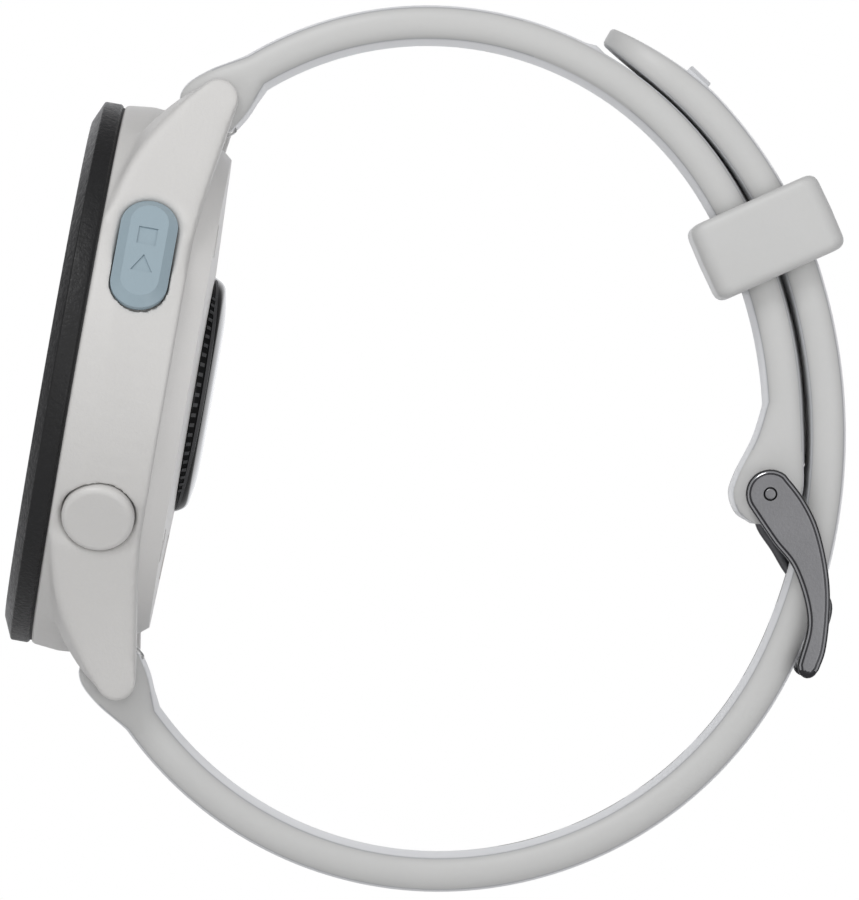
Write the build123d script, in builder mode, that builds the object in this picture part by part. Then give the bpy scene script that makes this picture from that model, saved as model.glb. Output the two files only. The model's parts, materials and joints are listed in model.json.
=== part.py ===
from build123d import *
from math import cos, radians, sin, sqrt
import os

# GPS running watch on a buckled silicone band, in millimetres.
# +Z points to 12 o'clock, +X to 3 o'clock and +Y to the wrist. The origin is the centre of the flat
# sensor window that rests on the wrist. Side outlines are drawn as (depth behind the display, height).

os.makedirs("parts", exist_ok=True)

# ---------------------------------------------------------------- driving sizes
THICKNESS = 13.03            # display face to the sensor window
CASE_R = 21.72
BEZEL_R = CASE_R - 0.22
BEZEL_FLAT_R = BEZEL_R - 1.75
BEZEL_CHAMFER = 0.77
BEZEL_BACK = 2.24
BEZEL_EDGE = 0.15
LENS_R = BEZEL_R - 4.3
LENS_THICK = 1.05
LENS_CHAMFER = 0.2
LENS_RECESS = 0.1
CASE_FRONT = 2.37
CASE_BACK = 9.65
CASE_WIDEST = 4.59           # depth of the widest ring of the case
CASE_WALL = 3.42
CASE_LIP = 0.2
MOUTH_WALL = 2.12
LEDGE_DEPTH = 4.0
COVER_BACK = 11.68
COVER_EDGE = 11.33
COVER_R = CASE_R - 1.67
COVER_EDGE_R = COVER_R - 1.35
SENSOR_R = 9.41
SENSOR_EDGE_R = 3.0
LUG_GAP = 20.0
STRAP_WIDTH = LUG_GAP - 0.3
STRAP_THICK = 2.8
LAYER_GAP = 0.45             # between the two band layers
FIT = 0.05                   # radial running clearance
SEAT = 0.1                   # clearance of a part dropped into its pocket

BAR_DEPTH = 9.2              # spring bars
BAR_REACH = 1.08             # bar centre beyond the case's widest ring
BAR_TUBE_R = 0.75
BAR_TIP_R = 0.42
BAR_TIP_REACH = 1.2
LEVER_TRAVEL = 1.25
LEVER_X = 6.6

BUTTON_DEPTH = 6.1           # side buttons
BUTTON_TRAVEL = 0.4
BUTTON_PROUD = 0.4
STEM_R = 0.75
PILL_LENGTH = 9.5
PILL_WIDTH = 4.5
ROUND_BUTTON_D = 5.7

CLASP_DEPTH = 20.57          # centre of the band's large arc on the clasp side
CLASP_HEIGHT = -1.63
CLASP_R = 41.24
TAIL_R = 33.78
PIN_R = 0.48
PIN_ANGLE = 2.76             # about the clasp arc's centre
BULB_R = 2.5
ARM_THICK = 1.9
CROSSBAR_R = 0.74
CROSSBAR_ANGLE = -14.3
TANG_THICK = 0.8
TANG_WIDTH = 1.6
KEEPER_LENGTH = 6.3
KEEPER_WALL = 1.95
KEEPER_GAP = 0.45

# ---------------------------------------------------------------- shared places
BAR_HEIGHT = CASE_R + BAR_REACH
CAVITY_R = CASE_R - CASE_WALL
MOUTH_R = CASE_R - MOUTH_WALL
SKIRT_R = MOUTH_R - FIT


def side(x=0.0):
    """Plane seen from 3 o'clock: local x is the depth behind the display face, local y the height."""
    return Plane(origin=(x, -THICKNESS, 0), x_dir=(0, 1, 0), z_dir=(1, 0, 0))


def dial(depth):
    """Plane parallel to the display: local x is +X, local y is +Z, and extrusion goes to the front."""
    return Plane(origin=(0, depth - THICKNESS, 0), x_dir=(1, 0, 0), z_dir=(0, -1, 0))


def radial(angle, radius):
    """Plane on a button's axis: local x is +Y, local y is the tangent, and its normal points outward."""
    outward = (cos(radians(angle)), 0, sin(radians(angle)))
    centre = (radius * outward[0], BUTTON_DEPTH - THICKNESS, radius * outward[2])
    return Plane(origin=centre, x_dir=(0, 1, 0), z_dir=outward)


def polar(centre, radius, angle):
    """Point of a side outline at a radius and an angle in degrees about a centre."""
    return (centre[0] + radius * cos(radians(angle)), centre[1] + radius * sin(radians(angle)))


def heading(angle):
    return (cos(radians(angle)), sin(radians(angle)))


def keep(piece, label):
    """Label a finished piece and write it as its own file."""
    piece.part.label = label
    export_step(piece.part, f"parts/{label}.step")


def ring_outline(points):
    """Closed outline of (depth, radius) points on the side plane, for a revolve about the Y axis."""
    with BuildSketch(side()) as outline:
        with BuildLine():
            Polyline(*points, close=True)
        make_face()
    return outline.sketch


# ---------------------------------------------------------------- case with four lugs
CASE_BACK_R = CASE_R - 0.37
COVER_SHADOW_R = COVER_R + SEAT
BOSS_R = 1.6
INSERT_R = 1.15
INSERT_LENGTH = 2.4
SCREW_R = 0.7
SCREW_CIRCLE = CAVITY_R - 1.2
BOSS_FRONT = 6.2
GASKET_IN_R = CAVITY_R + 0.45
GASKET_OUT_R = GASKET_IN_R + 0.7
GASKET_GROOVE = 0.45
LUG_START = 9.5              # height at which the lug sections begin inside the case
LUG_TIP_OUT = LUG_GAP / 2 + 2.7      # X of the lug's outer face at the spring bar
LUG_SWEEP_ANGLE = 29.0       # where the lug's outer face leaves the round case
LUG_SKETCH_X = LUG_GAP / 2 + 7.6
LUG_HOLE_DEPTH = 1.4
CASE_Z = CASE_R - 21.72      # growth of the case that the lug outlines follow


def lug_profile(x, front, tip):
    """One end section of a lug, from its front edge round the tip to its rear edge."""
    rear = [(11.18, 23.2), (10.8, 20.5), (10.25, 17.0), (9.8, 13.5), (9.6, LUG_START)]
    rear = [(depth, height + CASE_Z) for depth, height in rear]
    front = [(depth, height + CASE_Z) for depth, height in front]
    tip = (tip[0], tip[1] + CASE_Z)
    with BuildSketch(side(x)) as section:
        with BuildLine():
            Spline(*front)
            ThreePointArc(front[-1], tip, rear[0])
            Spline(*rear)
            Line(rear[-1], front[0])
        make_face()
    return section.sketch


with BuildPart() as lug:
    inner_front = [(2.5, LUG_START), (2.75, 14.0), (3.2, 17.8), (4.3, 20.0), (8.2, 23.9)]
    outer_front = [(2.4, LUG_START), (2.5, 11.8), (2.84, 13.7), (3.37, 15.7), (4.45, 17.8)]
    outer_front += [(6.0, 20.07), (8.8, 24.3)]
    inner_section = lug_profile(LUG_GAP / 2, inner_front, (10.35, 24.5))
    outer_section = lug_profile(LUG_SKETCH_X, outer_front, (10.45, 24.5))
    add(inner_section)
    add(outer_section)
    loft(ruled=True)
    tangent_point = (CASE_R * cos(radians(LUG_SWEEP_ANGLE)), CASE_R * sin(radians(LUG_SWEEP_ANGLE)))
    tip_point = (LUG_TIP_OUT, 24.8 + CASE_Z)
    with BuildSketch(dial(CASE_BACK + 3)):
        with BuildLine():
            Line((LUG_GAP / 2, tangent_point[1]), tangent_point)
            TangentArc(tangent_point, tip_point, tangent=heading(LUG_SWEEP_ANGLE + 90))
            Line(tip_point, (LUG_TIP_OUT - 0.5, tip_point[1] + 1))
            Line((LUG_TIP_OUT - 0.5, tip_point[1] + 1), (LUG_GAP / 2, tip_point[1] + 1))
            Line((LUG_GAP / 2, tip_point[1] + 1), (LUG_GAP / 2, tangent_point[1]))
        make_face()
    extrude(amount=CASE_BACK + 3, mode=Mode.INTERSECT)

BUTTONS = {
    "start_button": {"angle": 28.0, "pill": True},
    "back_button": {"angle": -29.9, "pill": False},
    "light_button": {"angle": 152.0, "pill": False},
    "up_button": {"angle": 180.0, "pill": False},
    "down_button": {"angle": 208.0, "pill": False},
}
POCKET_FLOOR = CASE_R - 1.17
SPRING_WELL_R = 1.45
SPRING_FLOOR = POCKET_FLOOR - 0.8
SEAL_OUT = SPRING_FLOOR - 0.45
SEAL_IN = SEAL_OUT - 0.55
SEAL_GROOVE_R = 1.27
SEAL_WIRE_R = 0.25


def button_outline(pill, grow=0.0):
    """A button's face outline in the open sketch, grown all round by a clearance."""
    if pill:
        SlotOverall(PILL_LENGTH + 2 * grow, PILL_WIDTH + 2 * grow, rotation=90)
    else:
        Circle(ROUND_BUTTON_D / 2 + grow)


with BuildPart() as case:
    case_outline = [
        (CASE_FRONT, 0),
        (CASE_FRONT, BEZEL_R - CASE_LIP),
        (CASE_FRONT + CASE_LIP, BEZEL_R),
        (CASE_WIDEST, CASE_R),
        (CASE_BACK - CASE_LIP, CASE_BACK_R),
        (CASE_BACK, CASE_BACK_R - CASE_LIP),
        (CASE_BACK, 0),
    ]
    add(ring_outline(case_outline))
    revolve(axis=Axis.Y)
    add(lug.part)
    add(lug.part.mirror(Plane.YZ))
    add(lug.part.mirror(Plane.XY))
    add(lug.part.mirror(Plane.XY).mirror(Plane.YZ))
    add(ring_outline([(0, 0), (0, MOUTH_R), (LEDGE_DEPTH, MOUTH_R), (LEDGE_DEPTH, 0)]))
    revolve(axis=Axis.Y, mode=Mode.SUBTRACT)
    add(ring_outline([(LEDGE_DEPTH, 0), (LEDGE_DEPTH, CAVITY_R), (CASE_BACK, CAVITY_R), (CASE_BACK, 0)]))
    revolve(axis=Axis.Y, mode=Mode.SUBTRACT)
    behind_case = [(CASE_BACK, 0), (CASE_BACK, COVER_SHADOW_R), (THICKNESS, COVER_SHADOW_R), (THICKNESS, 0)]
    add(ring_outline(behind_case))
    revolve(axis=Axis.Y, mode=Mode.SUBTRACT)
    with BuildSketch(dial(CASE_BACK)):
        with PolarLocations(SCREW_CIRCLE, 4, start_angle=45):
            Circle(BOSS_R)
    extrude(amount=CASE_BACK - BOSS_FRONT)
    with BuildSketch(dial(CASE_BACK)):
        with PolarLocations(SCREW_CIRCLE, 4, start_angle=45):
            Circle(INSERT_R)
    extrude(amount=INSERT_LENGTH, mode=Mode.SUBTRACT)
    with BuildSketch(dial(CASE_BACK)):
        Circle(GASKET_OUT_R)
        Circle(GASKET_IN_R, mode=Mode.SUBTRACT)
    extrude(amount=GASKET_GROOVE, mode=Mode.SUBTRACT)
    for button in BUTTONS.values():
        with BuildSketch(radial(button["angle"], POCKET_FLOOR)):
            button_outline(button["pill"], SEAT)
        extrude(amount=4, mode=Mode.SUBTRACT)
        for start, end, radius in (
            (CAVITY_R - 1, POCKET_FLOOR, STEM_R + FIT),
            (SPRING_FLOOR, POCKET_FLOOR, SPRING_WELL_R),
            (SEAL_IN, SEAL_OUT, SEAL_GROOVE_R),
        ):
            with BuildSketch(radial(button["angle"], start)):
                Circle(radius)
            extrude(amount=end - start, mode=Mode.SUBTRACT)
    for x_side in (-1, 1):
        for z_side in (-1, 1):
            with BuildSketch(side(x_side * LUG_GAP / 2)):
                with Locations((BAR_DEPTH, z_side * BAR_HEIGHT)):
                    Circle(BAR_TIP_R + FIT)
            extrude(amount=x_side * LUG_HOLE_DEPTH, mode=Mode.SUBTRACT)
keep(case, "case")

# ---------------------------------------------------------------- bezel, lens and display
SKIRT_BACK = 3.4
SKIRT_THICK = 0.8
LENS_LEDGE_R = LENS_R - 1.2
LENS_BACK = LENS_RECESS + LENS_THICK
TOUCH_THICK = 0.15
DISPLAY_THICK = 0.8
BACKING_THICK = 0.3
DISPLAY_R = LENS_LEDGE_R - SEAT

with BuildPart() as bezel:
    bezel_outline = [
        (0, LENS_R + FIT),
        (0, BEZEL_FLAT_R),
        (BEZEL_CHAMFER, BEZEL_R),
        (BEZEL_BACK - BEZEL_EDGE, BEZEL_R),
        (BEZEL_BACK, BEZEL_R - BEZEL_EDGE),
        (BEZEL_BACK, SKIRT_R),
        (SKIRT_BACK, SKIRT_R),
        (SKIRT_BACK, SKIRT_R - SKIRT_THICK),
        (BEZEL_BACK, SKIRT_R - SKIRT_THICK),
        (BEZEL_BACK, LENS_LEDGE_R),
        (LENS_BACK, LENS_LEDGE_R),
        (LENS_BACK, LENS_R + FIT),
    ]
    add(ring_outline(bezel_outline))
    revolve(axis=Axis.Y)
keep(bezel, "bezel")

with BuildPart() as bezel_gasket:
    with BuildSketch(dial(CASE_FRONT)):
        Circle(BEZEL_R - CASE_LIP - FIT)
        Circle(MOUTH_R, mode=Mode.SUBTRACT)
    extrude(amount=CASE_FRONT - BEZEL_BACK)
keep(bezel_gasket, "bezel_gasket")

with BuildPart() as lens:
    with BuildSketch(dial(LENS_BACK)):
        Circle(LENS_R)
    extrude(amount=LENS_THICK)
    chamfer(lens.edges().sort_by(Axis.Y)[0], LENS_CHAMFER)
keep(lens, "lens")

stack_depth = LENS_BACK
for label, thick, radius in (
    ("touch_panel", TOUCH_THICK, DISPLAY_R),
    ("display_panel", DISPLAY_THICK, DISPLAY_R),
    ("display_backing", BACKING_THICK, DISPLAY_R),
    ("display_pad", SKIRT_BACK - LENS_BACK - TOUCH_THICK - DISPLAY_THICK - BACKING_THICK, DISPLAY_R - 1),
):
    stack_depth += thick
    with BuildPart() as layer:
        with BuildSketch(dial(stack_depth)):
            Circle(radius)
        extrude(amount=thick)
    keep(layer, label)

# ---------------------------------------------------------------- inner chassis and electronics
CHASSIS_R = MOUTH_R - SEAT
SWITCH_GAP = 0.02
STEM_END = SEAL_IN - 1.0
SWITCH_TOP = STEM_END - BUTTON_TRAVEL - SWITCH_GAP
SWITCH_THICK = 0.35
POST_OUT = SWITCH_TOP - SWITCH_THICK
POST_THICK = 0.8
POST_WIDTH = 4.0
POST_BACK = 7.5
BOARD_FRONT = 4.6
BOARD_THICK = 0.6
BOARD_R = POST_OUT - POST_THICK - 0.3
SHIELD_HEIGHT = 0.75
STANDOFF_R = 1.0
FLEX_WIDTH = 7.0
FLEX_THICK = 0.12
FLEX_Z = 3 - BOARD_R         # the display cable passes through the chassis here
BATTERY_FRONT = 6.1
BATTERY_THICK = 3.2
BATTERY_WIDTH = 20.0
BATTERY_HEIGHT = 25.0

with BuildPart() as inner_chassis:
    with BuildSketch(dial(LEDGE_DEPTH)):
        Circle(CHASSIS_R)
        with Locations((0, FLEX_Z)):
            Rectangle(FLEX_WIDTH + 1, 2.0, mode=Mode.SUBTRACT)
    extrude(amount=LEDGE_DEPTH - SKIRT_BACK)
    for button in BUTTONS.values():
        with BuildSketch(radial(button["angle"], POST_OUT - POST_THICK)):
            with Locations(((LEDGE_DEPTH + POST_BACK) / 2 - BUTTON_DEPTH, 0)):
                Rectangle(POST_BACK - LEDGE_DEPTH, POST_WIDTH)
        extrude(amount=POST_THICK)
    with BuildSketch(dial(BOARD_FRONT)):
        with PolarLocations(BOARD_R - 1.5, 3, start_angle=90):
            Circle(STANDOFF_R)
    extrude(amount=BOARD_FRONT - LEDGE_DEPTH)
keep(inner_chassis, "inner_chassis")

with BuildPart() as button_switches:
    for button in BUTTONS.values():
        with BuildSketch(radial(button["angle"], POST_OUT)):
            RectangleRounded(2.6, 3.2, 0.4)
        extrude(amount=SWITCH_THICK / 2)
        with BuildSketch(radial(button["angle"], POST_OUT + SWITCH_THICK / 2)):
            Circle(1.0)
        extrude(amount=SWITCH_THICK / 2)
keep(button_switches, "button_switches")

with BuildPart() as antenna_ring:
    with BuildSketch(dial(BOARD_FRONT)):
        Circle(CAVITY_R - 0.15)
        Circle(CAVITY_R - 1.0, mode=Mode.SUBTRACT)
        with Locations((0, CAVITY_R - 0.5)):
            Rectangle(2.4, 2.4, mode=Mode.SUBTRACT)
    extrude(amount=BOARD_FRONT - LEDGE_DEPTH)
keep(antenna_ring, "antenna_ring")

with BuildPart() as main_board:
    with BuildSketch(dial(BOARD_FRONT + BOARD_THICK)):
        Circle(BOARD_R)
    extrude(amount=BOARD_THICK)
keep(main_board, "main_board")

with BuildPart() as board_shields:
    with BuildSketch(dial(BOARD_FRONT + BOARD_THICK + SHIELD_HEIGHT)):
        for x, z, width, height in ((-5.5, 4.0, 9.0, 11.0), (5.0, 5.5, 8.0, 8.0), (3.5, -6.5, 11.0, 6.0)):
            with Locations((x, z)):
                RectangleRounded(width, height, 0.5)
    extrude(amount=SHIELD_HEIGHT)
keep(board_shields, "board_shields")

with BuildPart() as display_flex:
    with BuildSketch(dial(BOARD_FRONT)):
        with Locations((0, FLEX_Z)):
            Rectangle(FLEX_WIDTH, FLEX_THICK)
    extrude(amount=BOARD_FRONT - SKIRT_BACK)
keep(display_flex, "display_flex")

with BuildPart() as battery:
    with BuildSketch(dial(BATTERY_FRONT + BATTERY_THICK)):
        RectangleRounded(BATTERY_WIDTH, BATTERY_HEIGHT, 2.0)
    extrude(amount=BATTERY_THICK)
    fillet(battery.edges().group_by(Axis.Y)[0] + battery.edges().group_by(Axis.Y)[-1], 0.5)
keep(battery, "battery")

with BuildPart() as battery_tab:
    with BuildSketch(dial(BATTERY_FRONT + 1.0)):
        with Locations((0, -BATTERY_HEIGHT / 2 - 0.9)):
            Rectangle(5.0, 1.8)
    extrude(amount=0.3)
    with BuildSketch(dial(BATTERY_FRONT + 0.7)):
        with Locations((0, -BATTERY_HEIGHT / 2 - 1.65)):
            Rectangle(3.0, 0.3)
    extrude(amount=BATTERY_FRONT + 0.7 - BOARD_FRONT - BOARD_THICK)
keep(battery_tab, "battery_tab")

# ---------------------------------------------------------------- vibration motor and beeper
MOTOR_R = 3.4
MOTOR_X = BATTERY_WIDTH / 2 + MOTOR_R + 0.5
MOTOR_FRONT = 5.95
MOTOR_DEPTH = 2.6
MOTOR_WALL = 0.2
MOTOR_AXLE_R = 0.3
ROTOR_GAP = 0.3              # between the rotor and its housing
MOTOR_BACK = MOTOR_FRONT + MOTOR_DEPTH

with BuildPart() as motor_housing:
    with BuildSketch(dial(MOTOR_BACK - MOTOR_WALL)):
        with Locations((MOTOR_X, 0)):
            Circle(MOTOR_R)
    extrude(amount=MOTOR_DEPTH - MOTOR_WALL)
    with BuildSketch(dial(MOTOR_BACK - MOTOR_WALL)):
        with Locations((MOTOR_X, 0)):
            Circle(MOTOR_R - MOTOR_WALL)
            Circle(MOTOR_AXLE_R, mode=Mode.SUBTRACT)
    extrude(amount=MOTOR_DEPTH - 2 * MOTOR_WALL, mode=Mode.SUBTRACT)
keep(motor_housing, "motor_housing")

with BuildPart() as motor_lid:
    with BuildSketch(dial(MOTOR_BACK)):
        with Locations((MOTOR_X, 0)):
            Circle(MOTOR_R)
    extrude(amount=MOTOR_WALL)
keep(motor_lid, "motor_lid")

with BuildPart() as motor_rotor:
    with BuildSketch(dial(MOTOR_BACK - MOTOR_WALL - ROTOR_GAP)):
        with Locations((MOTOR_X, 0)):
            Circle(MOTOR_R - MOTOR_WALL - ROTOR_GAP)
        with Locations((MOTOR_X - MOTOR_R / 2, 0)):
            Rectangle(MOTOR_R, 2 * MOTOR_R, mode=Mode.SUBTRACT)
        with Locations((MOTOR_X, 0)):
            Circle(MOTOR_AXLE_R + 0.6)
            Circle(MOTOR_AXLE_R + FIT, mode=Mode.SUBTRACT)
    extrude(amount=MOTOR_DEPTH - 2 * MOTOR_WALL - 2 * ROTOR_GAP)
keep(motor_rotor, "motor_rotor")

BEEPER_R = 2.4
BEEPER_LAYER = 0.2
BEEPER_DEPTH = 7.0
with BuildPart() as beeper_disc:
    beeper_z = BATTERY_HEIGHT / 2 + BEEPER_R + 0.3
    with BuildSketch(dial(BEEPER_DEPTH)):
        with Locations((0, beeper_z)):
            Circle(BEEPER_R)
    extrude(amount=BEEPER_LAYER)
    with BuildSketch(dial(BEEPER_DEPTH + BEEPER_LAYER)):
        with Locations((0, beeper_z)):
            Circle(BEEPER_R - 0.6)
    extrude(amount=BEEPER_LAYER)
keep(beeper_disc, "beeper_disc")

# ---------------------------------------------------------------- back cover, screws and sensor
COVER_INSIDE = 10.4
COVER_INSIDE_R = CAVITY_R - 3.0
SENSOR_HOLE_R = SENSOR_R - 0.86
PORT_Z = -13.0
PORT_WIDTH = 8.2
PORT_HEIGHT = 3.6
PORT_FLOOR = 10.9
CONTACT_R = 0.45
CONTACT_PITCH = 1.7
HEAD_R = 1.25
HEAD_DEPTH = 0.5
HEAD_FLOOR = 11.1

with BuildPart() as back_cover:
    cover_outline = [
        (COVER_INSIDE, SENSOR_HOLE_R),
        (COVER_INSIDE, COVER_INSIDE_R),
        (CASE_BACK, COVER_INSIDE_R),
        (CASE_BACK, COVER_R),
        (COVER_EDGE, COVER_EDGE_R),
        (COVER_BACK, SENSOR_R),
        (COVER_BACK, SENSOR_HOLE_R),
    ]
    add(ring_outline(cover_outline))
    revolve(axis=Axis.Y)
    with BuildSketch(dial(COVER_BACK + 1)):
        with Locations((0, PORT_Z)):
            RectangleRounded(PORT_WIDTH, PORT_HEIGHT, 0.9)
    extrude(amount=COVER_BACK + 1 - PORT_FLOOR, mode=Mode.SUBTRACT)
    with BuildSketch(dial(PORT_FLOOR)):
        with Locations((0, PORT_Z)):
            with GridLocations(CONTACT_PITCH, 0, 4, 1):
                Circle(CONTACT_R)
    extrude(amount=2, mode=Mode.SUBTRACT)
    with BuildSketch(dial(COVER_BACK)):
        with PolarLocations(SCREW_CIRCLE, 4, start_angle=45):
            Circle(HEAD_R + SEAT)
    extrude(amount=COVER_BACK - HEAD_FLOOR + HEAD_DEPTH, mode=Mode.SUBTRACT)
    with BuildSketch(dial(COVER_BACK)):
        with PolarLocations(SCREW_CIRCLE, 4, start_angle=45):
            Circle(SCREW_R + SEAT)
    extrude(amount=COVER_BACK - CASE_BACK, mode=Mode.SUBTRACT)
keep(back_cover, "back_cover")

with BuildPart() as cover_screws:
    with BuildSketch(dial(HEAD_FLOOR)):
        with PolarLocations(SCREW_CIRCLE, 4, start_angle=45):
            Circle(HEAD_R)
            RegularPolygon(0.5, 6, mode=Mode.SUBTRACT)
    extrude(amount=HEAD_DEPTH)
    with BuildSketch(dial(HEAD_FLOOR - HEAD_DEPTH / 2)):
        with PolarLocations(SCREW_CIRCLE, 4, start_angle=45):
            Circle(SCREW_R)
    extrude(amount=HEAD_FLOOR - HEAD_DEPTH / 2 - CASE_BACK + INSERT_LENGTH - 0.2)
keep(cover_screws, "cover_screws")

with BuildPart() as screw_inserts:
    with BuildSketch(dial(CASE_BACK)):
        with PolarLocations(SCREW_CIRCLE, 4, start_angle=45):
            Circle(INSERT_R)
            Circle(SCREW_R, mode=Mode.SUBTRACT)
    extrude(amount=INSERT_LENGTH)
keep(screw_inserts, "screw_inserts")

with BuildPart() as cover_gasket:
    with BuildSketch(dial(CASE_BACK)):
        Circle(GASKET_OUT_R - SEAT / 2)
        Circle(GASKET_IN_R + SEAT / 2, mode=Mode.SUBTRACT)
    extrude(amount=GASKET_GROOVE)
keep(cover_gasket, "cover_gasket")

PLUG_FRONT = 10.0
PLUG_WALL = 1.2
WINDOW_WALL = 1.0
with BuildPart() as sensor_window:
    edge_centre = (THICKNESS - SENSOR_EDGE_R, SENSOR_R - 2.48)
    arc_start = (COVER_BACK, edge_centre[1] + sqrt(SENSOR_EDGE_R**2 - (COVER_BACK - edge_centre[0]) ** 2))
    arc_end = (THICKNESS, edge_centre[1])
    arc_middle = polar(edge_centre, SENSOR_EDGE_R, 28)
    with BuildSketch(side()):
        with BuildLine():
            Polyline(
                arc_end,
                (THICKNESS, 0),
                (THICKNESS - WINDOW_WALL, 0),
                (THICKNESS - WINDOW_WALL, SENSOR_HOLE_R - PLUG_WALL),
                (PLUG_FRONT, SENSOR_HOLE_R - PLUG_WALL),
                (PLUG_FRONT, SENSOR_HOLE_R - FIT),
                (COVER_BACK, SENSOR_HOLE_R - FIT),
                arc_start,
            )
            ThreePointArc(arc_start, arc_middle, arc_end)
        make_face()
    revolve(axis=Axis.Y)
keep(sensor_window, "sensor_window")

with BuildPart() as sensor_board:
    with BuildSketch(dial(PLUG_FRONT)):
        Circle(SENSOR_HOLE_R - FIT)
    extrude(amount=0.5)
keep(sensor_board, "sensor_board")

with BuildPart() as sensor_emitters:
    with BuildSketch(dial(PLUG_FRONT + 0.7)):
        with PolarLocations(4.6, 4):
            Rectangle(2.2, 2.2)
        with GridLocations(1.5, 1.5, 2, 2):
            Rectangle(0.9, 0.9)
    extrude(amount=0.7)
keep(sensor_emitters, "sensor_emitters")

with BuildPart() as charging_contacts:
    with BuildSketch(dial(PORT_FLOOR + 0.2)):
        with Locations((0, PORT_Z)):
            with GridLocations(CONTACT_PITCH, 0, 4, 1):
                Circle(CONTACT_R)
    extrude(amount=PORT_FLOOR + 0.2 - COVER_INSIDE + 0.3)
keep(charging_contacts, "charging_contacts")

# ---------------------------------------------------------------- side buttons
CAP_BACK = POCKET_FLOOR + BUTTON_TRAVEL + SEAT
CAP_SHOULDER = CASE_R - 0.25
CAP_FACE = CASE_R + BUTTON_PROUD
WELL_ROOF = CAP_BACK + 0.3
CLIP_THICK = 0.2
CLIP_OUT = CAVITY_R - FIT
CLIP_GROOVE_R = 0.55
FACET_INSET = 0.75
SHOULDER_R = 0.5             # rounding of a round button's face
MARK_DEPTH = 0.14
SPRING_WIRE_R = 0.1

for name, button in BUTTONS.items():
    angle = button["angle"]
    with BuildPart() as cap:
        with BuildSketch(radial(angle, CAP_BACK)):
            button_outline(button["pill"])
        if button["pill"]:
            extrude(amount=CAP_SHOULDER - CAP_BACK)
            with BuildSketch(radial(angle, CAP_SHOULDER)):
                button_outline(button["pill"])
            with BuildSketch(radial(angle, CAP_FACE)):
                button_outline(button["pill"], -FACET_INSET)
            loft()
        else:
            extrude(amount=CAP_FACE - CAP_BACK)
            outward = radial(angle, 0).z_dir
            fillet(cap.faces().sort_by(lambda face: face.center().dot(outward))[-1].edges(), SHOULDER_R)
        with BuildSketch(radial(angle, CAP_BACK)):
            Circle(SPRING_WELL_R)
        extrude(amount=WELL_ROOF - CAP_BACK, mode=Mode.SUBTRACT)
        with BuildSketch(radial(angle, STEM_END)):
            Circle(STEM_R)
        extrude(amount=WELL_ROOF - STEM_END)
        with BuildSketch(radial(angle, CLIP_OUT - CLIP_THICK)):
            Circle(STEM_R + 1)
            Circle(CLIP_GROOVE_R, mode=Mode.SUBTRACT)
        extrude(amount=CLIP_THICK, mode=Mode.SUBTRACT)
        if button["pill"]:
            with BuildSketch(radial(angle, CAP_FACE - MARK_DEPTH)):
                with Locations((0, -1.35)):
                    RegularPolygon(1.0, 3, rotation=90)
                with Locations((0, 1.3)):
                    Rectangle(1.5, 1.5)
            extrude(amount=1, mode=Mode.SUBTRACT)
    keep(cap, name)

    with BuildPart() as clip:
        with BuildSketch(radial(angle, CLIP_OUT - CLIP_THICK)):
            Circle(1.4)
            Circle(CLIP_GROOVE_R, mode=Mode.SUBTRACT)
            with Locations((-1.4, 0)):
                Rectangle(2.8, 0.7, mode=Mode.SUBTRACT)
        extrude(amount=CLIP_THICK)
    keep(clip, name.replace("button", "clip"))

    with BuildPart() as coil:
        base = radial(angle, SPRING_FLOOR + 0.15)
        coil_length = WELL_ROOF - SPRING_FLOOR - 0.3
        with BuildLine() as coil_path:
            Helix(pitch=0.42, height=coil_length, radius=1.12, center=base.origin, direction=base.z_dir)
        with BuildSketch(Plane(origin=coil_path.line @ 0, z_dir=coil_path.line % 0)):
            Circle(SPRING_WIRE_R)
        sweep(path=coil_path.line)
    keep(coil, name.replace("button", "spring"))

with BuildPart() as button_seals:
    for button in BUTTONS.values():
        plane = radial(button["angle"], (SEAL_IN + SEAL_OUT) / 2)
        with Locations(plane):
            Torus(STEM_R + 0.02 + SEAL_WIRE_R, SEAL_WIRE_R)
keep(button_seals, "button_seals")

# ---------------------------------------------------------------- band paths
CLASP = (CLASP_DEPTH, CLASP_HEIGHT)
TAIL_TURN = 28.15            # angle at which the long strap's clasp arc meets its tail arc
CLASP_START = -14.7
TAIL_END = 68.9
SHORT_START = 13.0
SHORT_JOIN = 42.0
SHORT_SHIFT = 5.1            # how far the short strap's arc centre lies inside the tail arc's
START_REACH = (2.9, 3.05)    # from the spring bar to the start of the plain band
LONG_START_HEADING = -44.8
SHORT_START_HEADING = 40.9

tail_centre = polar(CLASP, CLASP_R - TAIL_R, TAIL_TURN)
short_centre = polar(tail_centre, -SHORT_SHIFT, TAIL_TURN)
SHORT_R = TAIL_R - STRAP_THICK - LAYER_GAP + SHORT_SHIFT


def meeting_point(start, start_dir, end, end_dir):
    """Where two tangent arcs meet that leave start along start_dir and reach end along end_dir."""
    chord = Vector(*end) - Vector(*start)
    both = Vector(*start_dir) + Vector(*end_dir)
    bend = 1 - Vector(*start_dir).dot(Vector(*end_dir))
    along = chord.dot(both)
    reach = (sqrt(along**2 + 2 * bend * chord.dot(chord)) - along) / (2 * bend)
    middle = Vector(*start) + Vector(*end) + (Vector(*start_dir) - Vector(*end_dir)) * reach
    return (middle.X / 2, middle.Y / 2)


long_start = (BAR_DEPTH + START_REACH[0], -BAR_HEIGHT - START_REACH[1])
long_join = polar(CLASP, CLASP_R, CLASP_START)
long_meet = meeting_point(long_start, heading(LONG_START_HEADING), long_join, heading(CLASP_START + 90))

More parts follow.
